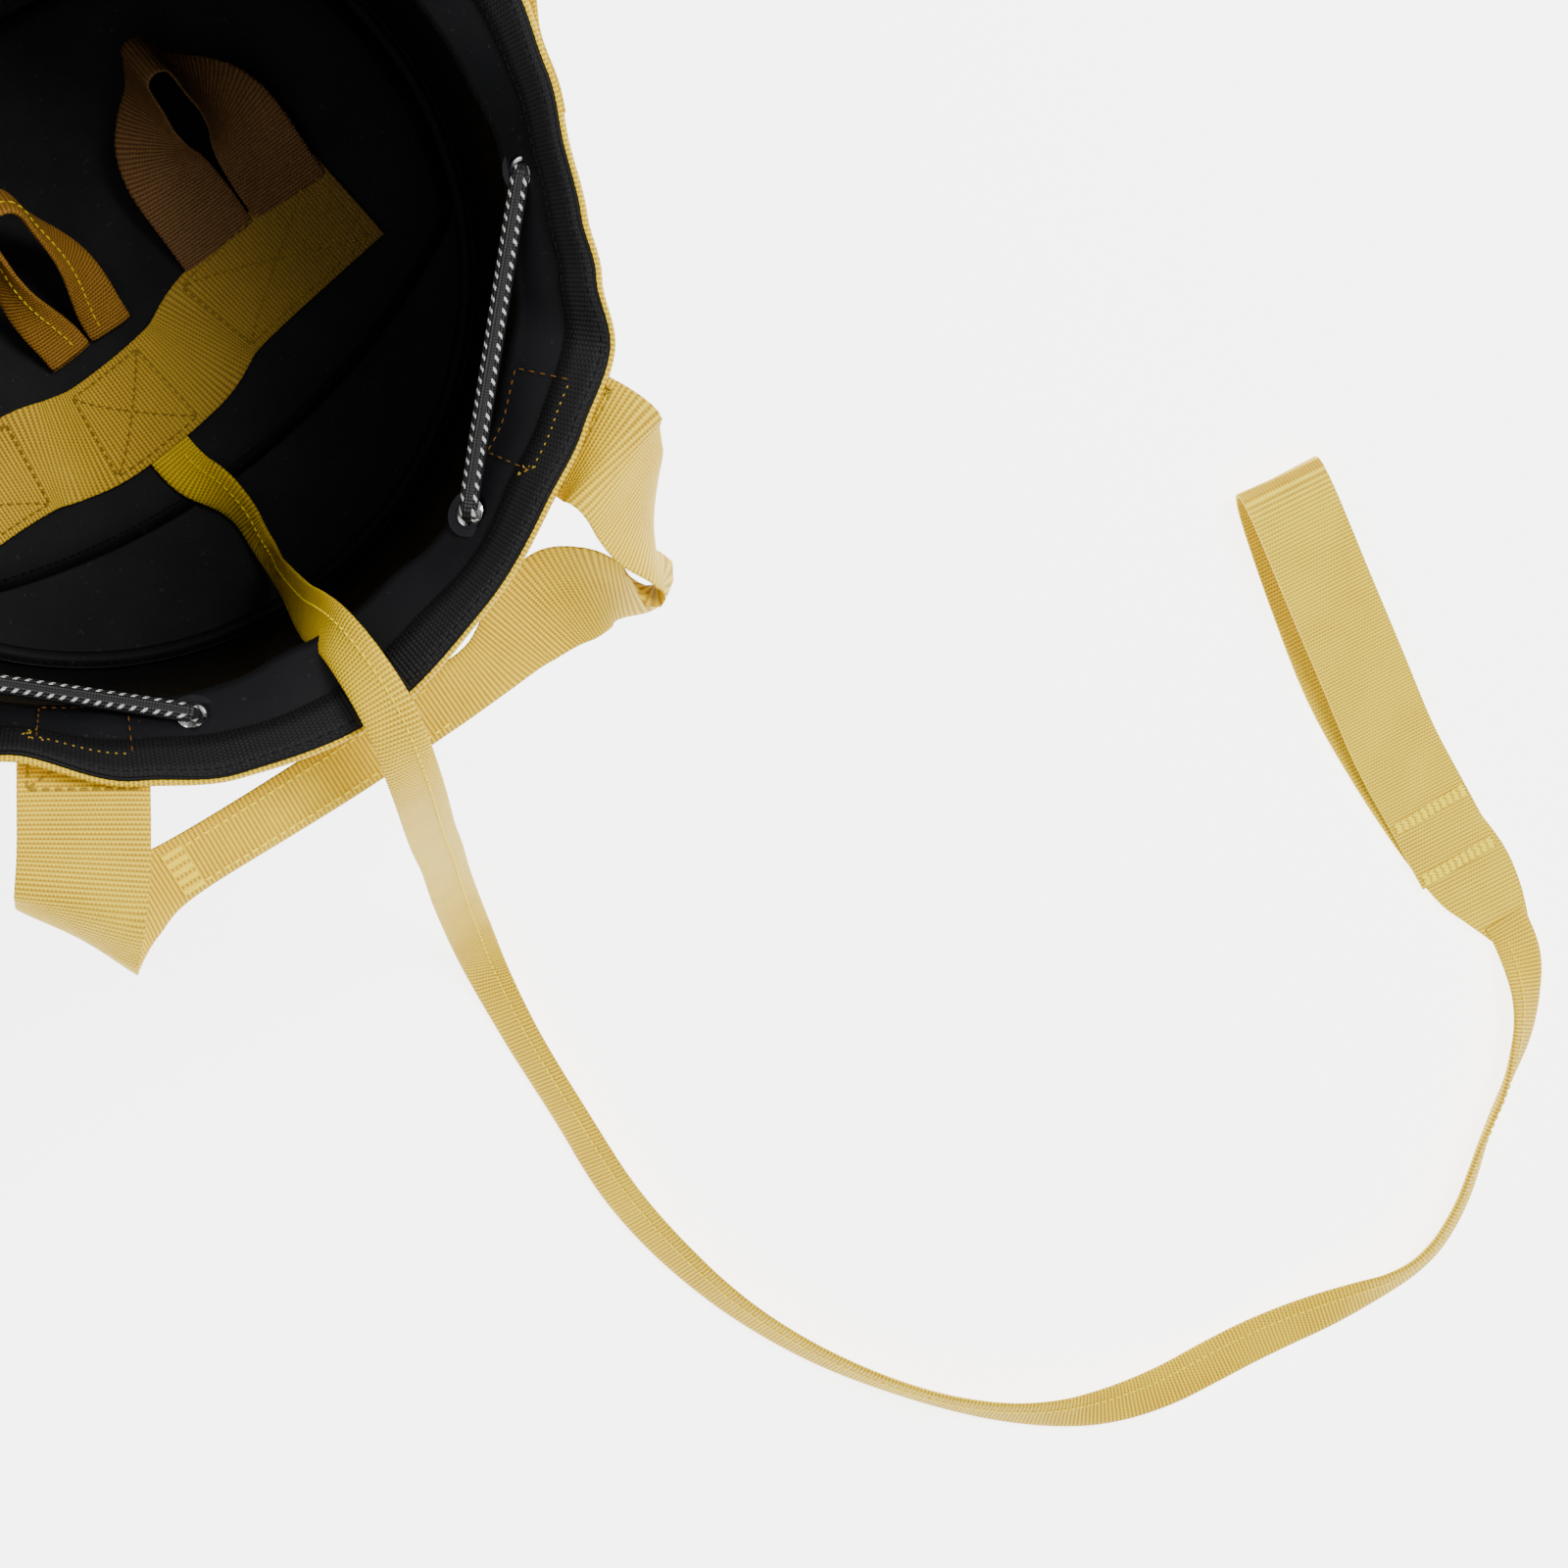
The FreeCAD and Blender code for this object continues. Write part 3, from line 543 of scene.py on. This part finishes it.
def wall_inside(degrees, share):
    """The wall's inner face: share 0 to 0.8 climbs from the base to the neck, and 0.8 to 1 is the flare."""
    mouth = mouth_radius(degrees)
    rim_height = NECK_HEIGHT + math.sqrt(max(FLARE**2 - (mouth - NECK_RADIUS) ** 2, 40.0))
    lower = [Vector((135.0, 1.0)), Vector((137.6, 60.0)), Vector((138.5, 120.0)), Vector((138.0, 180.0)),
             Vector((135.5, 238.0)), Vector((129.0, 266.0)), Vector((NECK_RADIUS, NECK_HEIGHT))]
    if share <= 0.8:
        spot = curve_value(lower, share / 0.8 * (len(lower) - 1))
    else:
        up = (share - 0.8) / 0.2
        spot = Vector((NECK_RADIUS + (mouth - NECK_RADIUS) * up,
                       NECK_HEIGHT + (rim_height - NECK_HEIGHT) * up))
        spot += Vector((-0.6, 0.8)) * 1.2 * math.sin(math.pi * up)
    near_neck = smooth(0.35, 0.78, share) * (1 - smooth(0.8, 0.97, share))
    eyelet = abs((degrees + 22.5) % 45 - 22.5) / 22.5
    cosine, sine = math.cos(math.radians(degrees)), math.sin(math.radians(degrees))
    crease = noise.noise(Vector((cosine * 6, sine * 6, share * 2)))
    soft = noise.noise(Vector((cosine * 2.2, sine * 2.2, share * 3 + 5)))
    ease = smooth(0.0, 0.12, share) * (1 - smooth(0.93, 1, share))
    radius = spot.x + near_neck * crease * 2.6 * smooth(0, 0.5, eyelet) + soft * 1.5 * ease
    return radius, spot.y


def wall_point(degrees, share, out=0.0):
    """A point on the wall, so far outside its inner face."""
    radius, height = wall_inside(degrees, share)
    above, below = wall_inside(degrees, min(share + 0.01, 1)), wall_inside(degrees, max(share - 0.01, 0))
    slope = Vector((above[0] - below[0], above[1] - below[1])).normalized()
    return around(radius + slope.y * out, degrees, height - slope.x * out)


def flare_share(down):
    """The wall's share at a distance down the flare from the rim."""
    return 1 - 0.2 * down / FLARE


def inner_face():
    """The flare's inner face for stitches: (millimetres round the rim, millimetres down from it)."""
    def place(round_rim, down):
        degrees, share = math.degrees(round_rim / 148), flare_share(down)
        low, high = wall_point(degrees, share, -1.0), wall_point(degrees, share, -2.0)
        return low, (high - low).normalized()
    return place


def turned(name, material, outline, count=288):
    """A closed skin round the bag: outline(degrees) gives its section's points, in order."""
    rows = [outline(360.0 * k / count) for k in range(count)]
    width = len(rows[0])
    runs = [0.0]
    for a, b in zip(rows[0], rows[0][1:]):
        runs.append(runs[-1] + (b - a).length)

    def spot(i, j):
        return i * math.tau * 145 / count, runs[j] if j < width else runs[-1] + 1

    return grid(name, rows, material, spot, close_rows=True, close_columns=True)


def wall():
    """The coated fabric side, one closed skin."""
    shares = [k / 60 for k in range(61)]

    def outline(degrees):
        inside = [wall_point(degrees, share) for share in shares]
        return inside + [wall_point(degrees, share, 1.0) for share in reversed(shares)]

    obj = turned("wall", FABRIC, outline)
    punch_eyelets(obj)
    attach(obj, "bag")
    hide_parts("wall_panel")


def punch_eyelets(obj):
    """Round holes through the wall for the eyelets."""
    for k in range(8):
        degrees = FRONT + 22.5 + 45 * k
        bpy.ops.mesh.primitive_cylinder_add(vertices=32, radius=5.0 * MM, depth=30 * MM)
        punch = bpy.context.object
        axis = around(SIN_FLARE, degrees, -COS_FLARE)
        punch.matrix_world = Matrix.Translation(around(EYELET_RADIUS, degrees, EYELET_HEIGHT) * MM) @ (
            axis.to_track_quat("Z", "Y").to_matrix().to_4x4())
        cut = obj.modifiers.new("eyelet", "BOOLEAN")
        cut.operation, cut.object, cut.solver = "DIFFERENCE", punch, "EXACT"
        bpy.context.view_layer.objects.active = obj
        bpy.ops.object.modifier_apply(modifier=cut.name)
        bpy.data.objects.remove(punch)


def rim():
    """Yellow webbing outside the mouth, its bound edge just showing, and black tape inside."""
    def webbing(degrees):
        wave = 0.5 * noise.noise(Vector((degrees * 0.09, 2, 0)))
        downs = (-0.9 + wave, 4, 8, 11.5, 15)
        low = [wall_point(degrees, flare_share(d), 1.1) for d in downs]
        return low + [wall_point(degrees, flare_share(d), 2.7) for d in reversed(downs)]

    def tape(degrees):
        turn = math.radians(degrees)
        hem = 13.5 + 1.6 * noise.noise(Vector((math.cos(turn) * 4, math.sin(turn) * 4, 1)))
        downs = [0.4, hem * 0.33, hem * 0.66, hem]
        face = [wall_point(degrees, flare_share(d), -0.15) for d in downs]
        return face + [wall_point(degrees, flare_share(d), -1.0) for d in reversed(downs)]

    skins = [("rim_band", YELLOW, webbing, "rim_webbing", "yellow_webbing"),
             ("rim_facing", BLACK_TAPE, tape, "rim_facing_tape", "black_webbing")]
    for name, material, outline, node, slot in skins:
        obj = turned(name, material, outline, 360)
        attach(obj, "bag")
        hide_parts(node)
    face, around_rim = inner_face(), math.tau * 148
    rows = [(face, [(0, down), (around_rim, down)]) for down in (2.2, 11.5)]
    sewn("facing_stitches", rows, GREY, slot="black_webbing", size=0.2)


def base():
    """The base panel, its bowed cover over the board, and the welt at the wall."""
    def cover_radius(degrees):
        """Where the disc's edge or a shallow arc, whichever is nearer, cuts this direction."""
        rise = abs(math.sin(math.radians(degrees)))
        reach = rise * 160
        return min(129.8, -reach + math.sqrt(reach**2 + 247**2 - 160**2))

    def cover_height(share, degrees):
        place = around(cover_radius(degrees) * share, degrees)
        soft = noise.noise(Vector((place.x * 0.02, place.y * 0.02, 0)))
        return COVER_TOP - 1.2 * smooth(0.93, 1.0, share) + 0.25 * soft

    turns, ring_count = [360.0 * k / 180 for k in range(180)], 24
    rings = [[around(cover_radius(turn) * r / ring_count, turn, cover_height(r / ring_count, turn))
              for turn in turns] for r in range(1, ring_count + 1)]
    skirt = [Vector((p.x, p.y, BASE_TOP + 0.02)) for p in rings[-1]]
    obj = grid("base_cover", rings + [skirt], FABRIC, lambda i, j: (i * 9.0, j * 4.0), close_columns=True)
    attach(obj, "bag")
    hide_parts("stiffener_cover")

    def cover_face(degrees, inset):
        place = around(cover_radius(degrees) - inset, degrees, COVER_TOP + 0.05)
        return place, Vector((0, 0, 1))

    sewn("cover_stitches", [(cover_face, [(0, 4.2), (360, 4.2)])], GREY, slot="coated_fabric", size=0.32,
         pitch=1.5, gap=0.4)

    def welt(degrees):
        bend = [(-5.0, 0.15), (-4.6, 1.1), (-2.6, 1.7), (-1.2, 2.4), (-0.9, 5.0), (-0.9, 10.0), (-0.5, 12.3),
                (-0.1, 12.0), (-0.1, 1.0), (-2.0, 0.15)]
        return [around(135.0 + x, degrees, BASE_TOP + z) for x, z in bend]

    obj = turned("base_welt", FABRIC, welt, 180)
    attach(obj, "bag")
    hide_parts("base_seam_tape")

    def welt_face(degrees, height):
        return around(134.0, degrees, BASE_TOP + height), around(-1, degrees)

    sewn("welt_stitches", [(welt_face, [(0, 9.0), (360, 9.0)])], GREY, slot="coated_fabric", size=0.3,
         pitch=1.5, gap=0.4)


def bungee():
    """The round cord laced through the eyelets, in and out, with its ends knotted behind."""
    radius, steps = 2.9, 12
    outside_height = EYELET_HEIGHT - COS_FLARE * BUNGEE_OUT

    def by_eyelet(degrees, out):
        """A place on an eyelet's axis, so far outside the wall."""
        return around(EYELET_RADIUS + SIN_FLARE * out, degrees, EYELET_HEIGHT - COS_FLARE * out)

    route = [around(134.0, 93.5, outside_height), around(131.5, 98, outside_height)]
    for k in range(0, 8, 2):
        here, there = 112.5 + 45 * k, 157.5 + 45 * k
        start, end = by_eyelet(here + 1.6, -5.0), by_eyelet(there - 1.6, -5.0)
        sag = Vector((0, 0, -1.2))
        route += [by_eyelet(here - 4, 9.5), by_eyelet(here - 0.5, 3.0), by_eyelet(here, -1.5), start]
        route += [start.lerp(end, share) + sag for share in (0.25, 0.5, 0.75)]
        route += [end, by_eyelet(there, -1.5), by_eyelet(there + 0.5, 3.0), by_eyelet(there + 4, 9.5)]
        if k < 6:
            route += [around(131.5, there + turn, outside_height) for turn in (12, 22.5, 33)]
    route += [around(131.5, 82, outside_height), around(134.0, 86.5, outside_height)]
    centres = [curve_value(route, k / steps) for k in range(steps * (len(route) - 1) + 1)]
    rows, runs, side = [], [0.0], Vector((0, 0, 1))
    for k, centre in enumerate(centres):
        along = (centres[min(k + 1, len(centres) - 1)] - centres[max(k - 1, 0)]).normalized()
        side = (side - along * side.dot(along)).normalized()
        other = along.cross(side)
        rows.append([centre + (side * math.cos(a) + other * math.sin(a)) * radius
                     for a in (math.tau * n / 14 for n in range(14))])
        if k:
            runs.append(runs[-1] + (centre - centres[k - 1]).length)
    obj = grid("bungee", rows, BUNGEE, lambda i, j: (runs[i], j * 18.2 / 14), close_columns=True, caps=True)
    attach(obj, "bag")
    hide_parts("bungee_cord")


def bungee_knot():
    """An overhand knot: a thick cord turned three times through itself."""
    middle = around(136.5, 90, EYELET_HEIGHT - COS_FLARE * BUNGEE_OUT)
    centres = []
    for k in range(96):
        t = math.tau * k / 96
        reach = 3.4 + 1.5 * math.cos(3 * t)
        centres.append(middle + Vector((reach * math.cos(2 * t) * 1.15, 1.9 * math.sin(3 * t),
                                        reach * math.sin(2 * t))))
    rows = []
    for k, centre in enumerate(centres):
        along = (centres[(k + 1) % 96] - centres[k - 1]).normalized()
        side = along.cross((centre - middle).normalized()).normalized()
        other = along.cross(side)
        rows.append([centre + (side * math.cos(a) + other * math.sin(a)) * 2.7
                     for a in (math.tau * n / 12 for n in range(12))])
    obj = grid("knot", rows, BUNGEE, lambda i, j: (i * 0.8, j * 1.5), close_rows=True, close_columns=True)
    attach(obj, "bag")
    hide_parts("bungee_knot")


# ---- handles and side loops -----------------------------------------------------------------------

def handle(name, turn):
    """A carry handle: flat ends sewn outside the rim, wide bent legs and a folded grip."""
    left, right = FRONT - HANDLE_TURN, FRONT + HANDLE_TURN

    def level(degrees):
        return around(1, degrees + 90)

    def sewn_place(down, degrees):
        """The flat end lies against the rounded rim, so its middle stands off a little."""
        near = max((wall_point(degrees + aside, flare_share(down), 3.6) for aside in (-6, 0, 6)),
                   key=lambda place: place.dot(around(1, degrees)))
        return around(near.dot(around(1, degrees)) + 0.8, degrees, near.z)

    stations = [
        (sewn_place(29, left), level(left), WEBBING, THIN),
        (sewn_place(15, left), level(left), WEBBING, THIN),
        (sewn_place(3, left), level(left), WEBBING, THIN),
        ((-97, -132, 304), (0.70, -0.71, 0), WEBBING, THIN),
        ((-107, -144, 305), (0.55, -0.83, 0), WEBBING, THIN),
        ((-113, -152, 292), (0.40, -0.90, -0.1), WEBBING, THIN),
        ((-108, -155, 275), (0.25, -0.92, -0.2), 35, THIN), ((-96, -156, 265), (0.12, -0.93, -0.3), 27, 2.2),
        ((-79, -157, 261), (0.08, -0.95, -0.3), 19.5, 3.4),
        ((-27, -161.5, 258), (0.07, -0.96, -0.25), 19, 3.4),
        ((10, -163, 257.5), (0.03, -0.97, -0.2), 19, 3.4), ((28, -163, 258), (-0.03, -0.97, -0.2), 19.5, 3.4),
        ((43, -160, 260), (-0.10, -0.96, -0.25), 27, 2.2),
        ((57, -158.5, 263), (-0.14, -0.90, -0.40), 35, THIN),
        ((68, -162, 267.5), (-0.10, -0.72, -0.68), WEBBING, THIN),
        ((77, -170, 271.5), (-0.05, -0.40, -0.92), WEBBING, THIN),
        ((83.5, -171, 274), (0.05, -0.10, -0.99), WEBBING, THIN),
        ((86.5, -163.5, 277), (0.20, 0, -0.98), WEBBING, THIN),
        ((88.5, -153.5, 282), (0.55, 0.08, -0.83), WEBBING, THIN),
        ((90.5, -143, 290), (0.84, 0.25, -0.48), WEBBING, THIN),
        ((92, -131.5, 298), (0.90, 0.40, -0.2), WEBBING, THIN),
        (sewn_place(3, right), level(right), WEBBING, THIN),
        (sewn_place(15, right), level(right), WEBBING, THIN),
        (sewn_place(29, right), level(right), WEBBING, THIN),
    ]
    spin = Matrix.Rotation(math.radians(turn), 3, "Z")
    stations = [(spin @ Vector(p), spin @ Vector(a), w, t) for p, a, w, t in stations]
    strap = Strap(stations, 1.6, ripple=0.6)
    obj = strap.mesh(f"{name}_handle", YELLOW, columns=12)
    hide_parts(f"{name}_handle_sewn_ends", f"{name}_handle_legs", f"{name}_handle_grip")
    ends = []
    for side in (1, -1):
        face = strap_face(strap, side)
        for low, high in ((1.5, 27), (strap.length - 27, strap.length - 1.5)):
            ends += [(face, corners) for corners in box_and_cross(low, high, -16, 16)]
    sewn(f"{name}_handle_boxes", ends, OLIVE, size=0.45)
    grip = []
    low, high = strap.length * 0.325, strap.length * 0.575
    for side in (1, -1):
        face = strap_face(strap, side)
        grip += [(face, [(low + 4, a), (high - 3, a)]) for a in (-6.5, 6.5)]
        grip += [(face, [(low + k * 0.7, -8), (low + k * 0.7 + 0.4, 8)]) for k in range(10)]
    threads = stitches(f"{name}_handle_threads", grip, LEMON, size=0.4, pitch=3.2)
    for bending in (obj, threads):
        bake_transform(bending)
    inside_rows(name, [left + turn, right + turn])


def inside_rows(name, directions):
    """The handle's box stitches as they come through on the inner face, with knotted thread ends."""
    face, rows, hidden = inner_face(), [], []
    for degrees in directions:
        middle = math.radians(degrees) * 148
        rows += [(face, [(middle - 15, 8.5), (middle + 14, 8.5)])]
        hidden += [(face, [(middle + side * 15, 8.5), (middle + side * 15, 27)]) for side in (-1, 1)]
        hidden += [(face, [(middle - 15, 27), (middle + 15, 27)])]
        for k in range(9):
            a, b = middle - 16 + CHANCE.uniform(-2, 2), 10 + CHANCE.uniform(-2, 3)
            rows.append((face, [(a, b), (a + CHANCE.uniform(-3, 3), b + CHANCE.uniform(-3, 3))]))
    sewn(f"{name}_inside_threads", rows, OLIVE, size=0.26, pitch=2.6, gap=1.7)
    sewn(f"{name}_inside_boxes", hidden, BROWN, size=0.22, pitch=3.4, gap=1.6)


def side_loop(name, middle):
    """Webbing sewn flat at both ends outside the rim, with its middle standing off."""
    stations = []
    for k in range(-10, 11):
        degrees = middle + 17.4 * k / 10
        lift = 9.0 * math.cos(math.pi / 2 * min(abs(k) / 5, 1)) ** 2
        place = wall_point(degrees, flare_share(12.0), 3.6 + lift)
        across = wall_point(degrees, flare_share(8.0), 0) - wall_point(degrees, flare_share(16.0), 0)
        stations.append((place, across, 25.0, NARROW_THIN))
    strap = Strap(stations, 1.6)
    obj = strap.mesh(name, YELLOW)
    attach(obj, "bag")
    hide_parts(name)
    face = strap_face(strap, -1)
    rows = []
    for low, high in ((1.5, 21), (strap.length - 21, strap.length - 1.5)):
        rows += [(face, corners) for corners in box_and_cross(low, high, -10.5, 10.5)]
    sewn(f"{name}_boxes", rows, BROWN, size=0.45)


# ---- anchor band and tool loops -------------------------------------------------------------------

def anchor_band():
    """The band sewn to the base cover in three boxes, puckered between them."""
    line = [(-113, -40.5), (-95, -40.5), (-72, -40), (-52, -41.5), (-40, -45), (-28, -47.5), (-12, -47.5),
            (2, -46.5), (14, -44.5), (27, -39), (40, -36.5), (66, -33.5), (91, -31)]
    rises = [0.9, 2.2, 2.2, 2.2, 1.4, 2.6, 3.6, 3.6, 3.4, 1.6, 2.2, 2.2, 0.9]
    stations = []
    for k, ((x, y), rise) in enumerate(zip(line, rises)):
        ahead, behind = line[min(k + 1, len(line) - 1)], line[max(k - 1, 0)]
        along = Vector((ahead[0] - behind[0], ahead[1] - behind[1], 0)).normalized()
        stations.append(((x, y, COVER_TOP + 0.7 + rise), (-along.y, along.x, 0), 36.5, THIN))
    strap = Strap(stations, 1.5, ripple=0.5)
    # the band's finish darkens towards +X: painted shade
    obj = strap.mesh("band", BAND_WITH_PAINTED_SHADE, columns=12)
    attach(obj, "bag")
    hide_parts("anchor_band")
    face = strap_face(strap, 1)
    rows = []
    for low, high in ((3, 60), (85, 116), (145, 202)):
        rows += [(face, corners) for corners in box_and_cross(low, high, -15.5, 15.5)]
    sewn("band_boxes", rows, OLIVE, size=0.42, pitch=3.2)
    for node, middle, half, thickness in (("left_tool_loop_sewn_ends", -81, 29, NARROW_THIN),
                                          ("centre_strap_sewn_part", -11, 16, FOLDED_THICK),
                                          ("right_tool_loop_sewn_ends", 59, 29, NARROW_THIN)):
        tail = []
        for place, across, _, _, _ in strap.samples:
            if abs(place.x - middle) < half:
                tail.append((place - Vector((0, 0, thickness / 2 + 0.95)), across, 34.0, thickness))
        # the tails under the band take the darker webbing copy: painted shade
        under = Strap(tail[::4], 3.0).mesh(node, PAINTED_SHADE_WEBBING)
        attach(under, "bag")
        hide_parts(node)


def tool_loop(name, material, middle, leg, thickness, length, lean, bend, late):
    """A loop whose legs lie flat at the band and turn on edge towards the tight bend at the top."""
    slope = math.radians(lean)
    up = Vector((0, math.cos(slope), math.sin(slope)))
    square = Vector((0, -math.sin(slope), math.cos(slope)))
    root = Vector((middle, -23.9 + thickness / 2, COVER_TOP + thickness / 2 + 0.1))
    straight = length - bend - thickness / 2
    stations = []
    for k in range(9):
        share = k / 8
        roll = math.pi / 2 * smooth(0, 1, share**late)
        away = (leg / 2 + 0.4) * math.cos(roll) + bend * math.sin(roll)
        place = root + up * (2.5 + (straight - 2.5) * share)
        stations.append((place, away, roll))
    left = [(p - Vector((a, 0, 0)), Vector((math.cos(r), 0, 0)) + square * math.sin(r), leg, thickness)
            for p, a, r in stations]
    right = [(p + Vector((a, 0, 0)), Vector((-math.cos(r), 0, 0)) + square * math.sin(r), leg, thickness)
             for p, a, r in reversed(stations)]
    top = []
    for k in (1, 2, 3):
        angle = math.pi * k / 4
        place = root + up * (straight + math.sin(angle) * bend) - Vector((math.cos(angle) * bend, 0, 0))
        top.append((place, square, leg, thickness))
    strap = Strap(left + top + right, 1.5, ripple=0.3)
    obj = strap.mesh(name, material, columns=8)
    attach(obj, name)
    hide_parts(name)
    return strap


def tool_loops():
    # the loops take darker copies of the yellow webbing: painted shade in the bag, deepest on the right loop
    for name, material, middle in (("right_tool_loop", DEEP_PAINTED_SHADE, 59), ("left_tool_loop", PAINTED_SHADE_WEBBING, -81)):
        tool_loop(name, material, middle, 29, NARROW_THIN, 82, 31, 4.6, 1.7)
    strap = tool_loop("centre_tool_loop", PAINTED_SHADE_WEBBING, -11, FOLDED, FOLDED_THICK, 76, 38, 7.0, 1.0)
    face = strap_face(strap, -1)
    seam = [(face, [(4, 3), (strap.length - 4, 3)])]
    sewn("centre_loop_stitches", seam, LEMON, "centre_tool_loop", size=0.3)


def plain_nodes():
    """The pieces that keep their made shape and get a finish."""
    finishes = {"base_panel": FABRIC, "stiffener_board": FABRIC, "eyelet_barrels": METAL,
                "eyelet_washers": METAL}
    for node, material in finishes.items():
        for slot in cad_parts[node].material_slots:
            slot.material = material


# ---- studio ---------------------------------------------------------------------------------------

def studio():
    """A pale floor that gives off some light of its own, and soft light from above."""
    finish = Finish("pale_floor", 0.75, Specular_IOR_Level=0.1, Emission_Color=(1, 1, 1, 1),
                    Emission_Strength=4.2)
    finish.colour(finish.mix(finish.noise(3.0), (0.80, 0.80, 0.81), (0.83, 0.83, 0.835)))
    bpy.ops.mesh.primitive_plane_add(size=12, location=(0, 0, -0.0005))
    floor = bpy.context.object
    floor.name = "floor"
    floor.data.materials.append(finish.material)
    world = bpy.data.worlds.new("studio")
    bpy.context.scene.world = world
    world.use_nodes = True
    world.node_tree.nodes["Background"].inputs[0].default_value = (1, 0.99, 0.98, 1)
    world.node_tree.nodes["Background"].inputs[1].default_value = 1.05
    lamps = [("key", (1.1, 0.1, 2.3), 0.9, 75.0), ("fill", (-1.2, -0.9, 2.4), 2.0, 12.0)]
    for name, place, size, power in lamps:
        light = bpy.data.lights.new(name, "AREA")
        light.size, light.energy = size, power
        obj = bpy.data.objects.new(name, light)
        obj.location = place
        obj.rotation_euler = (Vector((0.1, -0.25, 0)) - Vector(place)).to_track_quat("-Z", "Y").to_euler()
        bpy.context.scene.collection.objects.link(obj)


camera()
lanyard()
wall()
rim()
base()
bungee()
bungee_knot()
handle("front", 0.0)
handle("back", 180.0)
side_loop("right_side_loop", 0.0)
side_loop("left_side_loop", 180.0)
anchor_band()
tool_loops()
plain_nodes()
studio()
